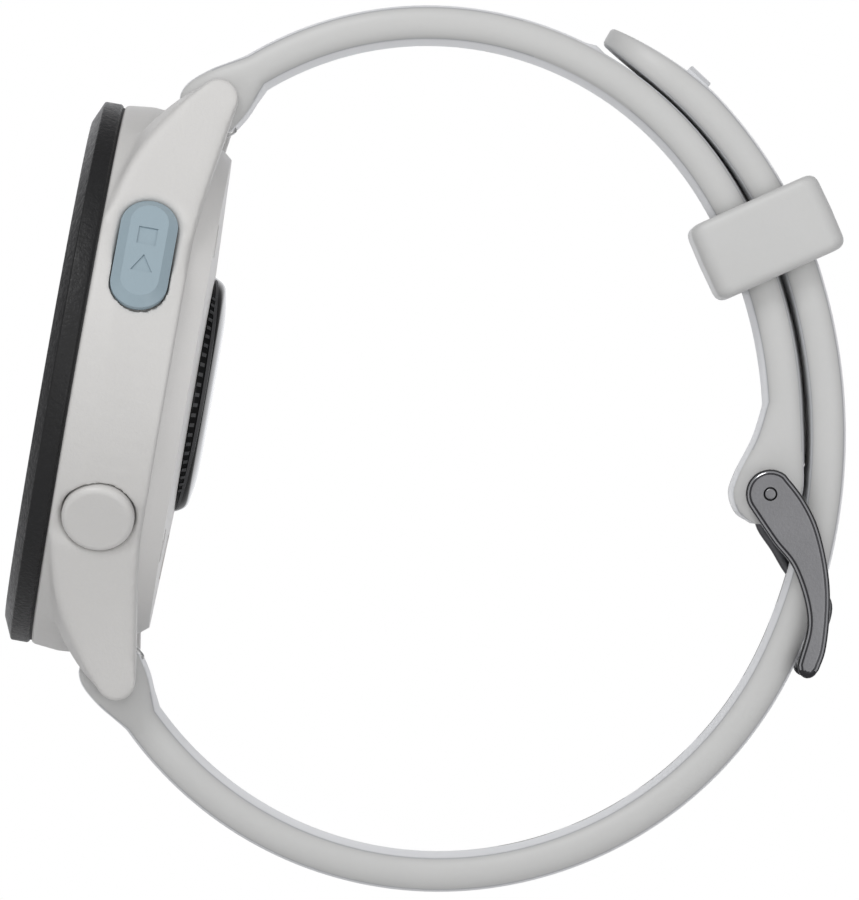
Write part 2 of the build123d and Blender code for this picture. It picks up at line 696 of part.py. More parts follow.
with BuildLine() as long_outline:
    first = TangentArc(long_start, long_meet, tangent=heading(LONG_START_HEADING))
    TangentArc(long_meet, long_join, tangent=first % 1)
    CenterArc(CLASP, CLASP_R, CLASP_START, TAIL_TURN - CLASP_START)
    CenterArc(tail_centre, TAIL_R, TAIL_TURN, TAIL_END - TAIL_TURN)
long_path = side() * long_outline.wire()

short_start = (BAR_DEPTH + START_REACH[0], BAR_HEIGHT + START_REACH[1])
short_join = polar(short_centre, SHORT_R, SHORT_JOIN)
short_meet = meeting_point(
    short_start, heading(SHORT_START_HEADING), short_join, heading(SHORT_JOIN - 90)
)

with BuildLine() as short_outline:
    first = TangentArc(short_start, short_meet, tangent=heading(SHORT_START_HEADING))
    TangentArc(short_meet, short_join, tangent=first % 1)
    CenterArc(short_centre, SHORT_R, SHORT_JOIN, SHORT_START - SHORT_JOIN)
short_path = side() * short_outline.wire()

# ---------------------------------------------------------------- straps
BORE_R = BAR_TUBE_R + FIT
EDGE_CHAMFER = 0.55
SLOT_MOUTH = (LEVER_TRAVEL + 1.8, 1.5)      # opening in the strap for the release lever
HOLE_PITCH = 6.4
HOLE_LENGTH = 4.4
HOLE_WIDTH = 2.4
TANG_HOLE_ANGLE = -6.5
HOLES_EACH_WAY = (5, 5)      # spare holes before and after the one in use
SLOT_WIDTH = TANG_WIDTH + 0.7
LEVER_DIR = (0.627, 0.779)   # depth and height, away from the bar towards the wrist


def band_section(path):
    """Cross-section of the band at the start of its path, with chamfered long edges."""
    start_plane = Plane(origin=path @ 0, x_dir=(1, 0, 0), z_dir=path % 0)
    with BuildSketch(start_plane) as section:
        Rectangle(STRAP_WIDTH, STRAP_THICK)
        chamfer(section.vertices(), EDGE_CHAMFER)
    return section.sketch


def strap_end(z_side, start, start_heading):
    """Side outline of the strap's end around its spring bar, joined to the start of the plain band."""
    out = 90 * z_side
    outer = polar(start, STRAP_THICK / 2, start_heading + out)
    inner = polar(start, STRAP_THICK / 2, start_heading - out)

    def near_bar(depth, height):
        return (BAR_DEPTH + depth, z_side * (BAR_HEIGHT + height))

    with BuildSketch(side(-STRAP_WIDTH / 2)) as outline:
        with BuildLine():
            Spline(outer, near_bar(-0.85, 2.35), near_bar(-2.35, 0.9), near_bar(-2.6, -0.2))
            Line(near_bar(-2.6, -0.2), near_bar(-1.9, -0.85))
            Line(near_bar(-1.9, -0.85), near_bar(0.5, -1.2))
            Line(near_bar(0.5, -1.2), near_bar(1.35, -2.2))
            ThreePointArc(near_bar(1.35, -2.2), near_bar(1.85, -2.15), near_bar(2.15, -1.6))
            Spline(near_bar(2.15, -1.6), near_bar(2.95, -0.3), inner)
            Line(inner, outer)
        make_face()
    return outline.sketch


def bar_bore(z_side):
    """Bore for the spring bar, on the strap's left edge."""
    with BuildSketch(side(-STRAP_WIDTH / 2)) as bore:
        with Locations((BAR_DEPTH, z_side * BAR_HEIGHT)):
            Circle(BORE_R)
    return bore.sketch


def lever_slot(z_side, length, width):
    """Slot along the spring bar, drawn on its axis and facing the way that the lever stands out."""
    middle = Vector(LEVER_X - LEVER_TRAVEL / 2, BAR_DEPTH - THICKNESS, z_side * BAR_HEIGHT)
    away = Vector(0, LEVER_DIR[0], -z_side * LEVER_DIR[1])
    with BuildSketch(Plane(origin=middle, x_dir=(1, 0, 0), z_dir=away)) as slot:
        Rectangle(length, width)
    return slot.sketch


TAIL_TIP_THICK = 1.2
TAIL_TAPER = 8.0             # degrees of the tail arc over which the tip thins
TAIL_CORNER_R = 6.0
RIB_ANGLE = 56.9
RIB_HEIGHT = 0.45
PIN_GAP = 0.37
pin_centre = polar(CLASP, CLASP_R - STRAP_THICK / 2 - PIN_GAP - BULB_R, PIN_ANGLE)
crossbar_centre = polar(CLASP, CLASP_R + STRAP_THICK / 2 + 0.3 + CROSSBAR_R, CROSSBAR_ANGLE)
hole_start = long_path.length - TAIL_R * radians(TAIL_END - TAIL_TURN)
hole_start -= CLASP_R * radians(TAIL_TURN - TANG_HOLE_ANGLE)

with BuildPart() as hole_strap:
    sweep(band_section(long_path), path=long_path)
    extrude(strap_end(-1, long_start, LONG_START_HEADING), amount=STRAP_WIDTH)
    extrude(bar_bore(-1), amount=STRAP_WIDTH, mode=Mode.SUBTRACT)
    extrude(lever_slot(-1, *SLOT_MOUTH), amount=5, mode=Mode.SUBTRACT)
    for step in range(-HOLES_EACH_WAY[0], HOLES_EACH_WAY[1] + 1):
        along = hole_start + step * HOLE_PITCH
        centre = long_path.position_at(along, position_mode=PositionMode.LENGTH)
        run = long_path.tangent_at(along, position_mode=PositionMode.LENGTH)
        with BuildSketch(Plane(origin=centre, x_dir=run, z_dir=run.cross(Vector(1, 0, 0)))):
            SlotOverall(HOLE_LENGTH, HOLE_WIDTH)
        extrude(amount=STRAP_THICK, both=True, mode=Mode.SUBTRACT)
    tail_tip = long_path @ 1
    tail_run = long_path % 1
    with BuildSketch(Plane(origin=tail_tip, x_dir=tail_run, z_dir=tail_run.cross(Vector(1, 0, 0)))):
        Rectangle(4 * TAIL_CORNER_R, STRAP_WIDTH + 2)
        with Locations((-3 * TAIL_CORNER_R, 0)):
            RectangleRounded(6 * TAIL_CORNER_R, STRAP_WIDTH + 0.02, TAIL_CORNER_R, mode=Mode.SUBTRACT)
    extrude(amount=2 * STRAP_THICK, both=True, mode=Mode.SUBTRACT)
    with BuildSketch(side(-STRAP_WIDTH / 2 - 1)):
        with BuildLine():
            Polyline(
                polar(tail_centre, TAIL_R - STRAP_THICK / 2, TAIL_END - TAIL_TAPER),
                polar(tail_centre, TAIL_R + STRAP_THICK / 2 - TAIL_TIP_THICK, TAIL_END + 1),
                polar(tail_centre, TAIL_R - STRAP_THICK, TAIL_END + 1),
                polar(tail_centre, TAIL_R - STRAP_THICK, TAIL_END - TAIL_TAPER),
                close=True,
            )
        make_face()
    extrude(amount=STRAP_WIDTH + 2, mode=Mode.SUBTRACT)
    with BuildSketch(side(-STRAP_WIDTH / 2 + 1.5)):
        with Locations(polar(tail_centre, TAIL_R + STRAP_THICK / 2, RIB_ANGLE)):
            Rectangle(2 * RIB_HEIGHT, 1.7, rotation=RIB_ANGLE)
    extrude(amount=STRAP_WIDTH - 3)
keep(hole_strap, "hole_strap")

with BuildPart() as buckle_strap:
    sweep(band_section(short_path), path=short_path)
    extrude(strap_end(1, short_start, SHORT_START_HEADING), amount=STRAP_WIDTH)
    extrude(bar_bore(1), amount=STRAP_WIDTH, mode=Mode.SUBTRACT)
    extrude(lever_slot(1, *SLOT_MOUTH), amount=5, mode=Mode.SUBTRACT)
    band_out = polar(short_centre, SHORT_R + STRAP_THICK / 2, SHORT_START)
    band_in = polar(short_centre, SHORT_R - STRAP_THICK / 2, SHORT_START)
    bulb_out = polar(pin_centre, BULB_R, PIN_ANGLE)
    bulb_low = polar(pin_centre, BULB_R + 0.1, -105)
    bulb_in = (pin_centre[0] - 2.9, pin_centre[1] - 0.5)
    with BuildSketch(side(-STRAP_WIDTH / 2)):
        with BuildLine():
            Spline(band_out, polar(CLASP, CLASP_R - STRAP_THICK / 2 - LAYER_GAP, 8), bulb_out)
            ThreePointArc(bulb_out, polar(pin_centre, BULB_R, -50), bulb_low)
            Spline(
                bulb_low,
                (pin_centre[0] - 2.1, pin_centre[1] - 1.95),
                bulb_in,
                (pin_centre[0] - 2.75, pin_centre[1] + 1.0),
                (pin_centre[0] - 1.8, pin_centre[1] + 4.2),
                band_in,
            )
            Line(band_in, band_out)
        make_face()
    extrude(amount=STRAP_WIDTH)
    with BuildSketch(side(-STRAP_WIDTH / 2)):
        with Locations(pin_centre):
            Circle(PIN_R + FIT)
    extrude(amount=STRAP_WIDTH, mode=Mode.SUBTRACT)
    with BuildSketch(side(-SLOT_WIDTH / 2)):
        with Locations((pin_centre[0], pin_centre[1] - 1.25)):
            Rectangle(8, 6)
    extrude(amount=SLOT_WIDTH, mode=Mode.SUBTRACT)
keep(buckle_strap, "buckle_strap")

# ---------------------------------------------------------------- keeper loop
KEEPER_ANGLE = 34.1
KEEPER_SIDE_GAP = 0.35
KEEPER_SIDE_WALL = 1.6
KEEPER_CORNER_R = 1.3
offset_angle = radians(KEEPER_ANGLE - TAIL_TURN)
short_layer_r = sqrt(SHORT_R**2 - (SHORT_SHIFT * sin(offset_angle)) ** 2) - SHORT_SHIFT * cos(offset_angle)
keeper_out = TAIL_R + STRAP_THICK / 2 + KEEPER_GAP
keeper_in = short_layer_r - STRAP_THICK / 2 - KEEPER_GAP
keeper_mid = polar(tail_centre, (keeper_out + keeper_in) / 2, KEEPER_ANGLE)
opening_width = STRAP_WIDTH + 2 * KEEPER_SIDE_GAP

with BuildPart() as keeper:
    keeper_origin = side().from_local_coords(Vector(keeper_mid[0], keeper_mid[1], 0))
    run_y, run_z = heading(KEEPER_ANGLE + 90)
    with BuildSketch(Plane(origin=keeper_origin, x_dir=(1, 0, 0), z_dir=(0, run_y, run_z))):
        RectangleRounded(
            opening_width + 2 * KEEPER_SIDE_WALL, keeper_out - keeper_in + 2 * KEEPER_WALL, KEEPER_CORNER_R
        )
        RectangleRounded(opening_width, keeper_out - keeper_in, 0.4, mode=Mode.SUBTRACT)
    extrude(amount=KEEPER_LENGTH / 2, both=True)
    outer_ends = keeper.edges().filter_by(Axis.X).sort_by(lambda edge: -edge.length)[0:4]
    fillet(outer_ends, KEEPER_CORNER_R)
keep(keeper, "keeper")

# ---------------------------------------------------------------- buckle
ARM_X = STRAP_WIDTH / 2 + 0.3
HEAD_END_R = 1.93
TANG_NOTCH = TANG_WIDTH + 0.5       # notch in the crossbar for the tang's end

with BuildPart() as buckle_frame:
    def from_pin(depth, height):
        return (pin_centre[0] + depth, pin_centre[1] + height)

    def from_bar(depth, height):
        return (crossbar_centre[0] + depth, crossbar_centre[1] + height)

    for x_side in (-1, 1):
        with BuildSketch(side(x_side * ARM_X)):
            with BuildLine():
                head_out = polar(pin_centre, HEAD_END_R, 62)
                head_in = polar(pin_centre, HEAD_END_R, 222)
                Spline(
                    head_out,
                    from_pin(2.65, 0.1),
                    from_pin(4.17, -1.99),
                    from_pin(5.85, -6.4),
                    from_bar(0.98, 1.2),
                    from_bar(0.72, -0.35),
                )
                ThreePointArc(from_bar(0.72, -0.35), from_bar(-0.2, -1.15), from_bar(-1.0, -0.2))
                Spline(
                    from_bar(-1.0, -0.2),
                    from_bar(-0.82, 3.3),
                    from_pin(2.75, -5.4),
                    from_pin(0.9, -3.7),
                    head_in,
                )
                ThreePointArc(head_in, polar(pin_centre, HEAD_END_R, 142), head_out)
            make_face()
        extrude(amount=x_side * ARM_THICK)
    with BuildSketch(side(-ARM_X - ARM_THICK / 2)):
        with Locations(crossbar_centre):
            Circle(CROSSBAR_R)
    extrude(amount=2 * ARM_X + ARM_THICK)
    with BuildSketch(side(-ARM_X - ARM_THICK)):
        with Locations(pin_centre):
            Circle(PIN_R)
    extrude(amount=2 * ARM_X + 2 * ARM_THICK, mode=Mode.SUBTRACT)
    with BuildSketch(side(-TANG_NOTCH / 2)):
        with Locations((crossbar_centre[0] + 1.15, crossbar_centre[1])):
            Rectangle(2.0, 4.0)
    extrude(amount=TANG_NOTCH, mode=Mode.SUBTRACT)
keep(buckle_frame, "buckle_frame")

with BuildPart() as buckle_pin:
    with BuildSketch(side(-ARM_X - ARM_THICK)):
        with Locations(pin_centre):
            Circle(PIN_R)
    extrude(amount=2 * ARM_X + 2 * ARM_THICK)
keep(buckle_pin, "buckle_pin")

EYE_R = 1.2
with BuildPart() as buckle_tang:
    with BuildSketch(side(-TANG_WIDTH / 2)):
        with BuildLine():
            FilletPolyline(
                from_pin(-0.1, -0.9),
                from_pin(-0.2, -2.1),
                from_pin(1.5, -3.95),
                from_pin(2.85, -6.25),
                from_bar(0.6, 5.35),
                from_bar(0.6, -0.7),
                radius=0.55,
            )
            offset(amount=TANG_THICK / 2)
        make_face()
        with Locations(pin_centre):
            Circle(EYE_R)
            Circle(PIN_R + FIT, mode=Mode.SUBTRACT)
    extrude(amount=TANG_WIDTH)
keep(buckle_tang, "buckle_tang")

# ---------------------------------------------------------------- quick-release spring bars
TUBE_X = STRAP_WIDTH / 2 - 0.25
TUBE_IN_R = 0.55
ROD_R = TUBE_IN_R - FIT
ROD_END_X = 5.0
ROD_SEAT = 0.2               # the rod's shoulder inside the tube's open end
TIP_OUT = LUG_GAP / 2 + BAR_TIP_REACH
COIL_R = 0.4
COIL_WIRE_R = 0.08
COIL_REST = 4.75             # spring length left when the lever is pressed
LEVER_R = 0.4
KNOB_R = 0.65
KNOB_THICK = 0.7
KNOB_REACH = 2.95

for name, z_side in (("upper", 1), ("lower", -1)):
    bar = (BAR_DEPTH, z_side * BAR_HEIGHT)
    away = Vector(0, LEVER_DIR[0], -z_side * LEVER_DIR[1])
    with BuildPart() as tube:
        with BuildSketch(side(-TUBE_X)):
            with Locations(bar):
                Circle(BAR_TUBE_R)
        extrude(amount=2 * TUBE_X)
        with BuildSketch(side(ROD_END_X - LEVER_TRAVEL - 5)):
            with Locations(bar):
                Circle(TUBE_IN_R)
        extrude(amount=TUBE_X - ROD_END_X + LEVER_TRAVEL + 5, mode=Mode.SUBTRACT)
        with BuildSketch(side(-TUBE_X)):
            with Locations(bar):
                Circle(BAR_TIP_R)
        extrude(amount=TUBE_X - TIP_OUT)
        slot_length = LEVER_TRAVEL + 2 * LEVER_R + 2 * SEAT
        extrude(lever_slot(z_side, slot_length, 2 * LEVER_R + 2 * FIT), amount=2, mode=Mode.SUBTRACT)
    keep(tube, f"{name}_bar_tube")

    with BuildPart() as lever:
        with BuildSketch(side(ROD_END_X)):
            with Locations(bar):
                Circle(ROD_R)
        extrude(amount=TUBE_X - ROD_SEAT - ROD_END_X)
        with BuildSketch(side(TUBE_X - ROD_SEAT)):
            with Locations(bar):
                Circle(BAR_TIP_R)
        extrude(amount=TIP_OUT - TUBE_X + ROD_SEAT)
        lever_origin = Vector(LEVER_X, BAR_DEPTH - THICKNESS, z_side * BAR_HEIGHT)
        with BuildSketch(Plane(origin=lever_origin, x_dir=(1, 0, 0), z_dir=away)):
            Circle(LEVER_R)
        extrude(amount=KNOB_REACH - KNOB_THICK / 2)
        knob_origin = lever_origin + away * (KNOB_REACH - KNOB_THICK)
        with BuildSketch(Plane(origin=knob_origin, x_dir=(1, 0, 0), z_dir=away)):
            Circle(KNOB_R)
        extrude(amount=KNOB_THICK)
        knob_face = lever.faces().sort_by(lambda face: face.center().dot(away))[-1]
        fillet(knob_face.edges(), 0.3)
    keep(lever, f"{name}_bar_lever")

    with BuildPart() as coil:
        base = (ROD_END_X - LEVER_TRAVEL - 4.9, BAR_DEPTH - THICKNESS, z_side * BAR_HEIGHT)
        with BuildLine() as coil_path:
            Helix(0.7, LEVER_TRAVEL + COIL_REST, COIL_R, center=base, direction=(1, 0, 0))
        with BuildSketch(Plane(origin=coil_path.line @ 0, z_dir=coil_path.line % 0)):
            Circle(COIL_WIRE_R)
        sweep(path=coil_path.line)
    keep(coil, f"{name}_bar_spring")
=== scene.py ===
import json
from math import atan2, cos, hypot, pi, radians, sin, sqrt

import bmesh
import bpy
from mathutils import Matrix, Vector


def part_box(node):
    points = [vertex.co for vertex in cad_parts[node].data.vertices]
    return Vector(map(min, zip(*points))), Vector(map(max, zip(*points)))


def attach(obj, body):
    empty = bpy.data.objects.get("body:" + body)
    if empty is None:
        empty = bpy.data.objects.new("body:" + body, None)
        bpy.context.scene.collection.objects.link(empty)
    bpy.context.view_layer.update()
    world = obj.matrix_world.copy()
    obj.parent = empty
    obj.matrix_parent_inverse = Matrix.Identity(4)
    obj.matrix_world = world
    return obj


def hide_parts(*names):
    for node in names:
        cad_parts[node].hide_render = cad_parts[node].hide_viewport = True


# A GPS running watch in its closed band. Sizes are in millimetres until the meshes are made; outlines
# are drawn as (depth behind the display face, height towards 12 o'clock).

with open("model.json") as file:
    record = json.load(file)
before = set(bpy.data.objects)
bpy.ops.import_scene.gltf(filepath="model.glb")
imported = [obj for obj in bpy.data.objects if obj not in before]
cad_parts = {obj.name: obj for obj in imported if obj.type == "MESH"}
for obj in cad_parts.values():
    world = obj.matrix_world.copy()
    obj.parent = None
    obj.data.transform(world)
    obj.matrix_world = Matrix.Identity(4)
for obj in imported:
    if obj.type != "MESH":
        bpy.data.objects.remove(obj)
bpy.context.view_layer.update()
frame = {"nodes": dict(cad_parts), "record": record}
MM = 0.001
FACE_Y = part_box("bezel")[0][1] / MM          # the display face
NODES = frame["nodes"]


def at(depth, height, x=0.0):
    """The point in the model's frame, in millimetres, of a depth, a height and a place across."""
    return Vector((x, FACE_Y + depth, height))


def polar(centre, radius, angle):
    """The outline point at a radius and an angle in degrees from a centre."""
    return (centre[0] + radius * cos(radians(angle)), centre[1] + radius * sin(radians(angle)))


# ---------------------------------------------------------------- shader groups
def group(name, inputs, outputs):
    """An empty shader group with float or colour sockets; gives the tree and its two ends."""
    tree = bpy.data.node_groups.new(name, "ShaderNodeTree")
    for way, sockets in (("INPUT", inputs), ("OUTPUT", outputs)):
        for label, kind, value in sockets:
            item = tree.interface.new_socket(label, in_out=way, socket_type=f"NodeSocket{kind}")
            if value is not None and way == "INPUT":
                item.default_value = value
    return tree, tree.nodes.new("NodeGroupInput"), tree.nodes.new("NodeGroupOutput")


def node(tree, kind, links=None, **settings):
    """Adds a node; links maps an input's name or number to a socket or a value."""
    made = tree.nodes.new(f"ShaderNode{kind}")
    for key, value in settings.items():
        setattr(made, key, value)
    for key, value in (links or {}).items():
        if isinstance(value, bpy.types.NodeSocket):
            tree.links.new(value, made.inputs[key])
        else:
            made.inputs[key].default_value = value
    return made


def maths(tree, operation, a, b, clamp=False):
    return node(tree, "Math", {0: a, 1: b}, operation=operation, use_clamp=clamp).outputs[0]


def grain_group():
    """Moulded grain: fine pits, slow cloudiness in the colour, and roughness that follows the pits."""
    tree, ends, out = group(
        "moulded_grain",
        [("Colour", "Color", (0.8, 0.8, 0.8, 1)), ("Grain Scale", "Float", 4000.0), ("Cloud", "Float", 0.04),
         ("Roughness", "Float", 0.5), ("Roughness Spread", "Float", 0.1)],
        [("Colour", "Color", None), ("Roughness", "Float", None), ("Height", "Float", None)],
    )
    place = node(tree, "TexCoord").outputs["Object"]
    fine = node(tree, "TexNoise", {"Vector": place, "Scale": ends.outputs["Grain Scale"], "Detail": 3.0,
                                   "Roughness": 0.6}).outputs["Fac"]
    cloud = node(tree, "TexNoise", {"Vector": place, "Scale": 160.0, "Detail": 2.0}).outputs["Fac"]
    speck = maths(tree, "MULTIPLY", maths(tree, "SUBTRACT", fine, 0.5), 0.7)
    slow = maths(tree, "SUBTRACT", cloud, 0.5)
    both = maths(tree, "MULTIPLY", maths(tree, "ADD", speck, slow), ends.outputs["Cloud"])
    value = maths(tree, "ADD", both, 1.0)
    tint = node(tree, "HueSaturation", {"Value": value, "Color": ends.outputs["Colour"]}).outputs["Color"]
    spread = maths(tree, "MULTIPLY", maths(tree, "SUBTRACT", fine, 0.5), ends.outputs["Roughness Spread"])
    tree.links.new(tint, out.inputs["Colour"])
    tree.links.new(maths(tree, "ADD", spread, ends.outputs["Roughness"]), out.inputs["Roughness"])
    tree.links.new(fine, out.inputs["Height"])
    return tree


def brushed_group():
    """Brushed or turned metal: long fine streaks along a stretched axis, with a few deeper ones."""
    tree, ends, out = group(
        "brushed_metal",
        [("Colour", "Color", (0.5, 0.5, 0.5, 1)), ("Stretch", "Vector", (900.0, 9000.0, 9000.0)),
         ("Streak", "Float", 0.2), ("Roughness", "Float", 0.35)],
        [("Colour", "Color", None), ("Roughness", "Float", None), ("Height", "Float", None)],
    )
    place = node(tree, "TexCoord").outputs["Object"]
    long = node(tree, "VectorMath", {0: place, 1: ends.outputs["Stretch"]}, operation="MULTIPLY").outputs[0]
    streak = node(tree, "TexNoise", {"Vector": long, "Scale": 1.0, "Detail": 3.0}).outputs["Fac"]
    cloud = node(tree, "TexNoise", {"Vector": place, "Scale": 220.0, "Detail": 3.0}).outputs["Fac"]
    both = maths(tree, "ADD", maths(tree, "SUBTRACT", streak, 0.5), maths(tree, "SUBTRACT", cloud, 0.5))
    change = maths(tree, "MULTIPLY", both, ends.outputs["Streak"])
    tint = node(tree, "HueSaturation", {"Value": maths(tree, "ADD", change, 1.0),
                                        "Color": ends.outputs["Colour"]}).outputs["Color"]
    tree.links.new(tint, out.inputs["Colour"])
    tree.links.new(maths(tree, "ADD", change, ends.outputs["Roughness"]), out.inputs["Roughness"])
    tree.links.new(streak, out.inputs["Height"])
    return tree


GRAIN = grain_group()
BRUSHED = brushed_group()


def finish(name, effect, colour, bump=0.1, distance=0.00004, shader=None, **values):
    """A material of one effect group, a bump and a Principled shader with fixed extra values."""
    made = bpy.data.materials.new(name)
    made.use_nodes = True
    tree = made.node_tree
    surface = tree.nodes["Principled BSDF"]
    box = tree.nodes.new("ShaderNodeGroup")
    box.node_tree = effect
    box.inputs["Colour"].default_value = (*colour, 1)
    for key, value in values.items():
        box.inputs[key.replace("_", " ")].default_value = value
    raised = node(tree, "Bump", {"Height": box.outputs["Height"], "Strength": bump, "Distance": distance})
    tree.links.new(box.outputs["Colour"], surface.inputs["Base Color"])
    tree.links.new(box.outputs["Roughness"], surface.inputs["Roughness"])
    tree.links.new(raised.outputs["Normal"], surface.inputs["Normal"])
    for key, value in (shader or {}).items():
        surface.inputs[key].default_value = value
    made.diffuse_color = (*colour, 1)
    return made


METAL = {"Metallic": 1.0}
GLOSS = {"Coat Weight": 0.6, "Coat Roughness": 0.05}
LOOKS = {
    "case_polymer": finish("case_polymer", GRAIN, (0.58, 0.572, 0.558), 0.6, Roughness=0.46, Grain_Scale=4200.0,
                           Cloud=0.07, Roughness_Spread=0.16),
    "bezel_black": finish("bezel_black", GRAIN, (0.0075, 0.0075, 0.008), 1.0, 0.00007, Roughness=0.42,
                          Grain_Scale=2600.0, Cloud=0.9, Roughness_Spread=0.4,
                          shader={"Specular IOR Level": 0.33}),
    "lens_glass": finish("lens_glass", GRAIN, (0.9, 0.92, 0.93), 0.0, Roughness=0.03, Cloud=0.02,
                         Roughness_Spread=0.01, shader={"Transmission Weight": 1.0, "IOR": 1.5}),
    "display_film": finish("display_film", GRAIN, (0.004, 0.0044, 0.005), 0.0, Roughness=0.06, Cloud=0.02,
                           Roughness_Spread=0.01, shader=GLOSS),
    "display": finish("display", GRAIN, (0.003, 0.0032, 0.0036), 0.0, Roughness=0.08, Cloud=0.1,
                      shader=GLOSS),
    "steel": finish("steel", BRUSHED, (0.60, 0.60, 0.59), 0.15, Roughness=0.3, Streak=0.2, shader=METAL),
    "foam": finish("foam", GRAIN, (0.018, 0.018, 0.018), 0.9, Roughness=0.9, Grain_Scale=2500.0, Cloud=0.6),
    "seal_rubber": finish("seal_rubber", GRAIN, (0.012, 0.012, 0.012), 0.4, Roughness=0.6, Grain_Scale=5000.0,
                          Cloud=0.4),
    "chassis_plastic": finish("chassis_plastic", GRAIN, (0.03, 0.03, 0.033), 0.4, Roughness=0.55,
                              Grain_Scale=3500.0, Cloud=0.4),
    "copper": finish("copper", BRUSHED, (0.80, 0.46, 0.24), 0.2, Roughness=0.3, Streak=0.3, shader=METAL),
    "board": finish("board", GRAIN, (0.01, 0.07, 0.035), 0.5, Roughness=0.35, Grain_Scale=900.0, Cloud=0.9),
    "flex": finish("flex", GRAIN, (0.42, 0.17, 0.03), 0.1, Roughness=0.3, Grain_Scale=1500.0, Cloud=0.2),
    "battery_pouch": finish("battery_pouch", BRUSHED, (0.62, 0.63, 0.65), 0.5, Roughness=0.32, Streak=0.35,
                            Stretch=(420.0, 420.0, 420.0), shader=METAL),
    "rotor_metal": finish("rotor_metal", GRAIN, (0.22, 0.22, 0.23), 0.5, Roughness=0.45, Grain_Scale=4000.0,
                          Cloud=0.4, shader=METAL),
    "cover_plastic": finish("cover_plastic", GRAIN, (0.68, 0.67, 0.655), 0.5, Roughness=0.45,
                            Grain_Scale=4800.0, Cloud=0.06, Roughness_Spread=0.16),
    "sensor_gloss": finish("sensor_gloss", GRAIN, (0.002, 0.002, 0.0022), 0.02, Roughness=0.14, Cloud=0.3,
                           Roughness_Spread=0.04, shader={"Specular IOR Level": 0.12}),
    "emitter": finish("emitter", GRAIN, (0.26, 0.32, 0.2), 0.1, Roughness=0.15, Cloud=0.3, shader=GLOSS),
    "contact_gold": finish("contact_gold", BRUSHED, (0.85, 0.60, 0.24), 0.15, Roughness=0.25, Streak=0.2,
                           shader=METAL),
    "button_blue": finish("button_blue", GRAIN, (0.285, 0.365, 0.41), 0.25, Roughness=0.36, Grain_Scale=5200.0,
                          Cloud=0.06, Roughness_Spread=0.14),
    "button_grey": finish("button_grey", GRAIN, (0.58, 0.572, 0.558), 0.45, Roughness=0.4, Grain_Scale=5200.0,
                          Cloud=0.05, Roughness_Spread=0.14),
    "silicone": finish("silicone", GRAIN, (0.52, 0.52, 0.512), 0.12, Roughness=0.46, Grain_Scale=2600.0,
                       Cloud=0.05, Roughness_Spread=0.16,
                       shader={"Sheen Weight": 0.25, "Sheen Roughness": 0.4}),
    "buckle_metal": finish("buckle_metal", GRAIN, (0.21, 0.21, 0.218), 0.5, Roughness=0.4, Grain_Scale=5200.0,
                           Cloud=0.3, Roughness_Spread=0.2, shader=METAL),
    "tang_steel": finish("tang_steel", BRUSHED, (0.10, 0.10, 0.105), 0.2, Roughness=0.32, Streak=0.3,
                         shader=METAL),
}
# A near-black copy of the buckle metal, painted as a dark reflection on the buckle's sides and on a thin line
# between its polished rim and its face.
BUCKLE_PAINTED_DARK = finish("buckle_painted_dark_reflection", BRUSHED, (0.045, 0.045, 0.048), 0.05, Roughness=0.3, Streak=0.2,
                     shader=METAL)
BUCKLE_EDGE = finish("buckle_polished_edge", BRUSHED, (0.34, 0.34, 0.35), 0.05, Roughness=0.14, Streak=0.1,
                     shader=METAL)
# Painted light and shade for the bands: a darker copy of the silicone is painted as shade on the long edge
# chamfers, and a lighter, bluish copy is painted as light on the crowned faces.
SILICONE_PAINTED_SHADE = finish("silicone_painted_shade", GRAIN, (0.44, 0.443, 0.452), 0.12, Roughness=0.5, Grain_Scale=2600.0,
                       Cloud=0.05, Roughness_Spread=0.16)
SILICONE_PAINTED_LIGHT = finish("silicone_painted_light", GRAIN, (0.64, 0.65, 0.666), 0.15, Roughness=0.44, Grain_Scale=2600.0,
                       Cloud=0.04, Roughness_Spread=0.14, shader={"Sheen Weight": 0.3, "Sheen Roughness": 0.4})

for entry in frame["record"]["subparts"]:
    for place in NODES[entry["node"]].material_slots:
        place.material = LOOKS[entry["material_slot"]]


# ---------------------------------------------------------------- mesh makers
def piece(name, points, faces, body, slot, nodes, sharp=40.0, looks=None):
    """A mesh piece from millimetre points that rides on a body and stands for CAD nodes."""
    mesh = bpy.data.meshes.new(name)
    mesh.from_pydata([Vector(p) * MM for p in points], [], faces)
    work = bmesh.new()
    work.from_mesh(mesh)
    bmesh.ops.remove_doubles(work, verts=work.verts, dist=0.004 * MM)
    bmesh.ops.dissolve_degenerate(work, edges=work.edges, dist=0.002 * MM)
    bmesh.ops.recalc_face_normals(work, faces=work.faces)
    work.to_mesh(mesh)
    work.free()
    mesh.polygons.foreach_set("use_smooth", [True] * len(mesh.polygons))
    mesh.set_sharp_from_angle(angle=radians(sharp))
    made = bpy.data.objects.new(name, mesh)
    bpy.context.scene.collection.objects.link(made)
    for look in looks or [LOOKS[slot]]:
        mesh.materials.append(look)
    if body:
        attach(made, body)
    if nodes:
        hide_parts(*nodes)
    return made


def skin(rings, closed_ring=True, caps=(True, True)):
    """Points and faces that join equal rings into a tube; a cap closes an end with one face."""
    count = len(rings[0])
    points = [p for ring in rings for p in ring]
    faces = []
    for r in range(len(rings) - 1):
        for i in range(count if closed_ring else count - 1):
            j = (i + 1) % count
            faces.append((r * count + i, r * count + j, (r + 1) * count + j, (r + 1) * count + i))
    if caps[0]:
        faces.append(tuple(range(count - 1, -1, -1)))
    if caps[1]:
        faces.append(tuple((len(rings) - 1) * count + i for i in range(count)))
    return points, faces


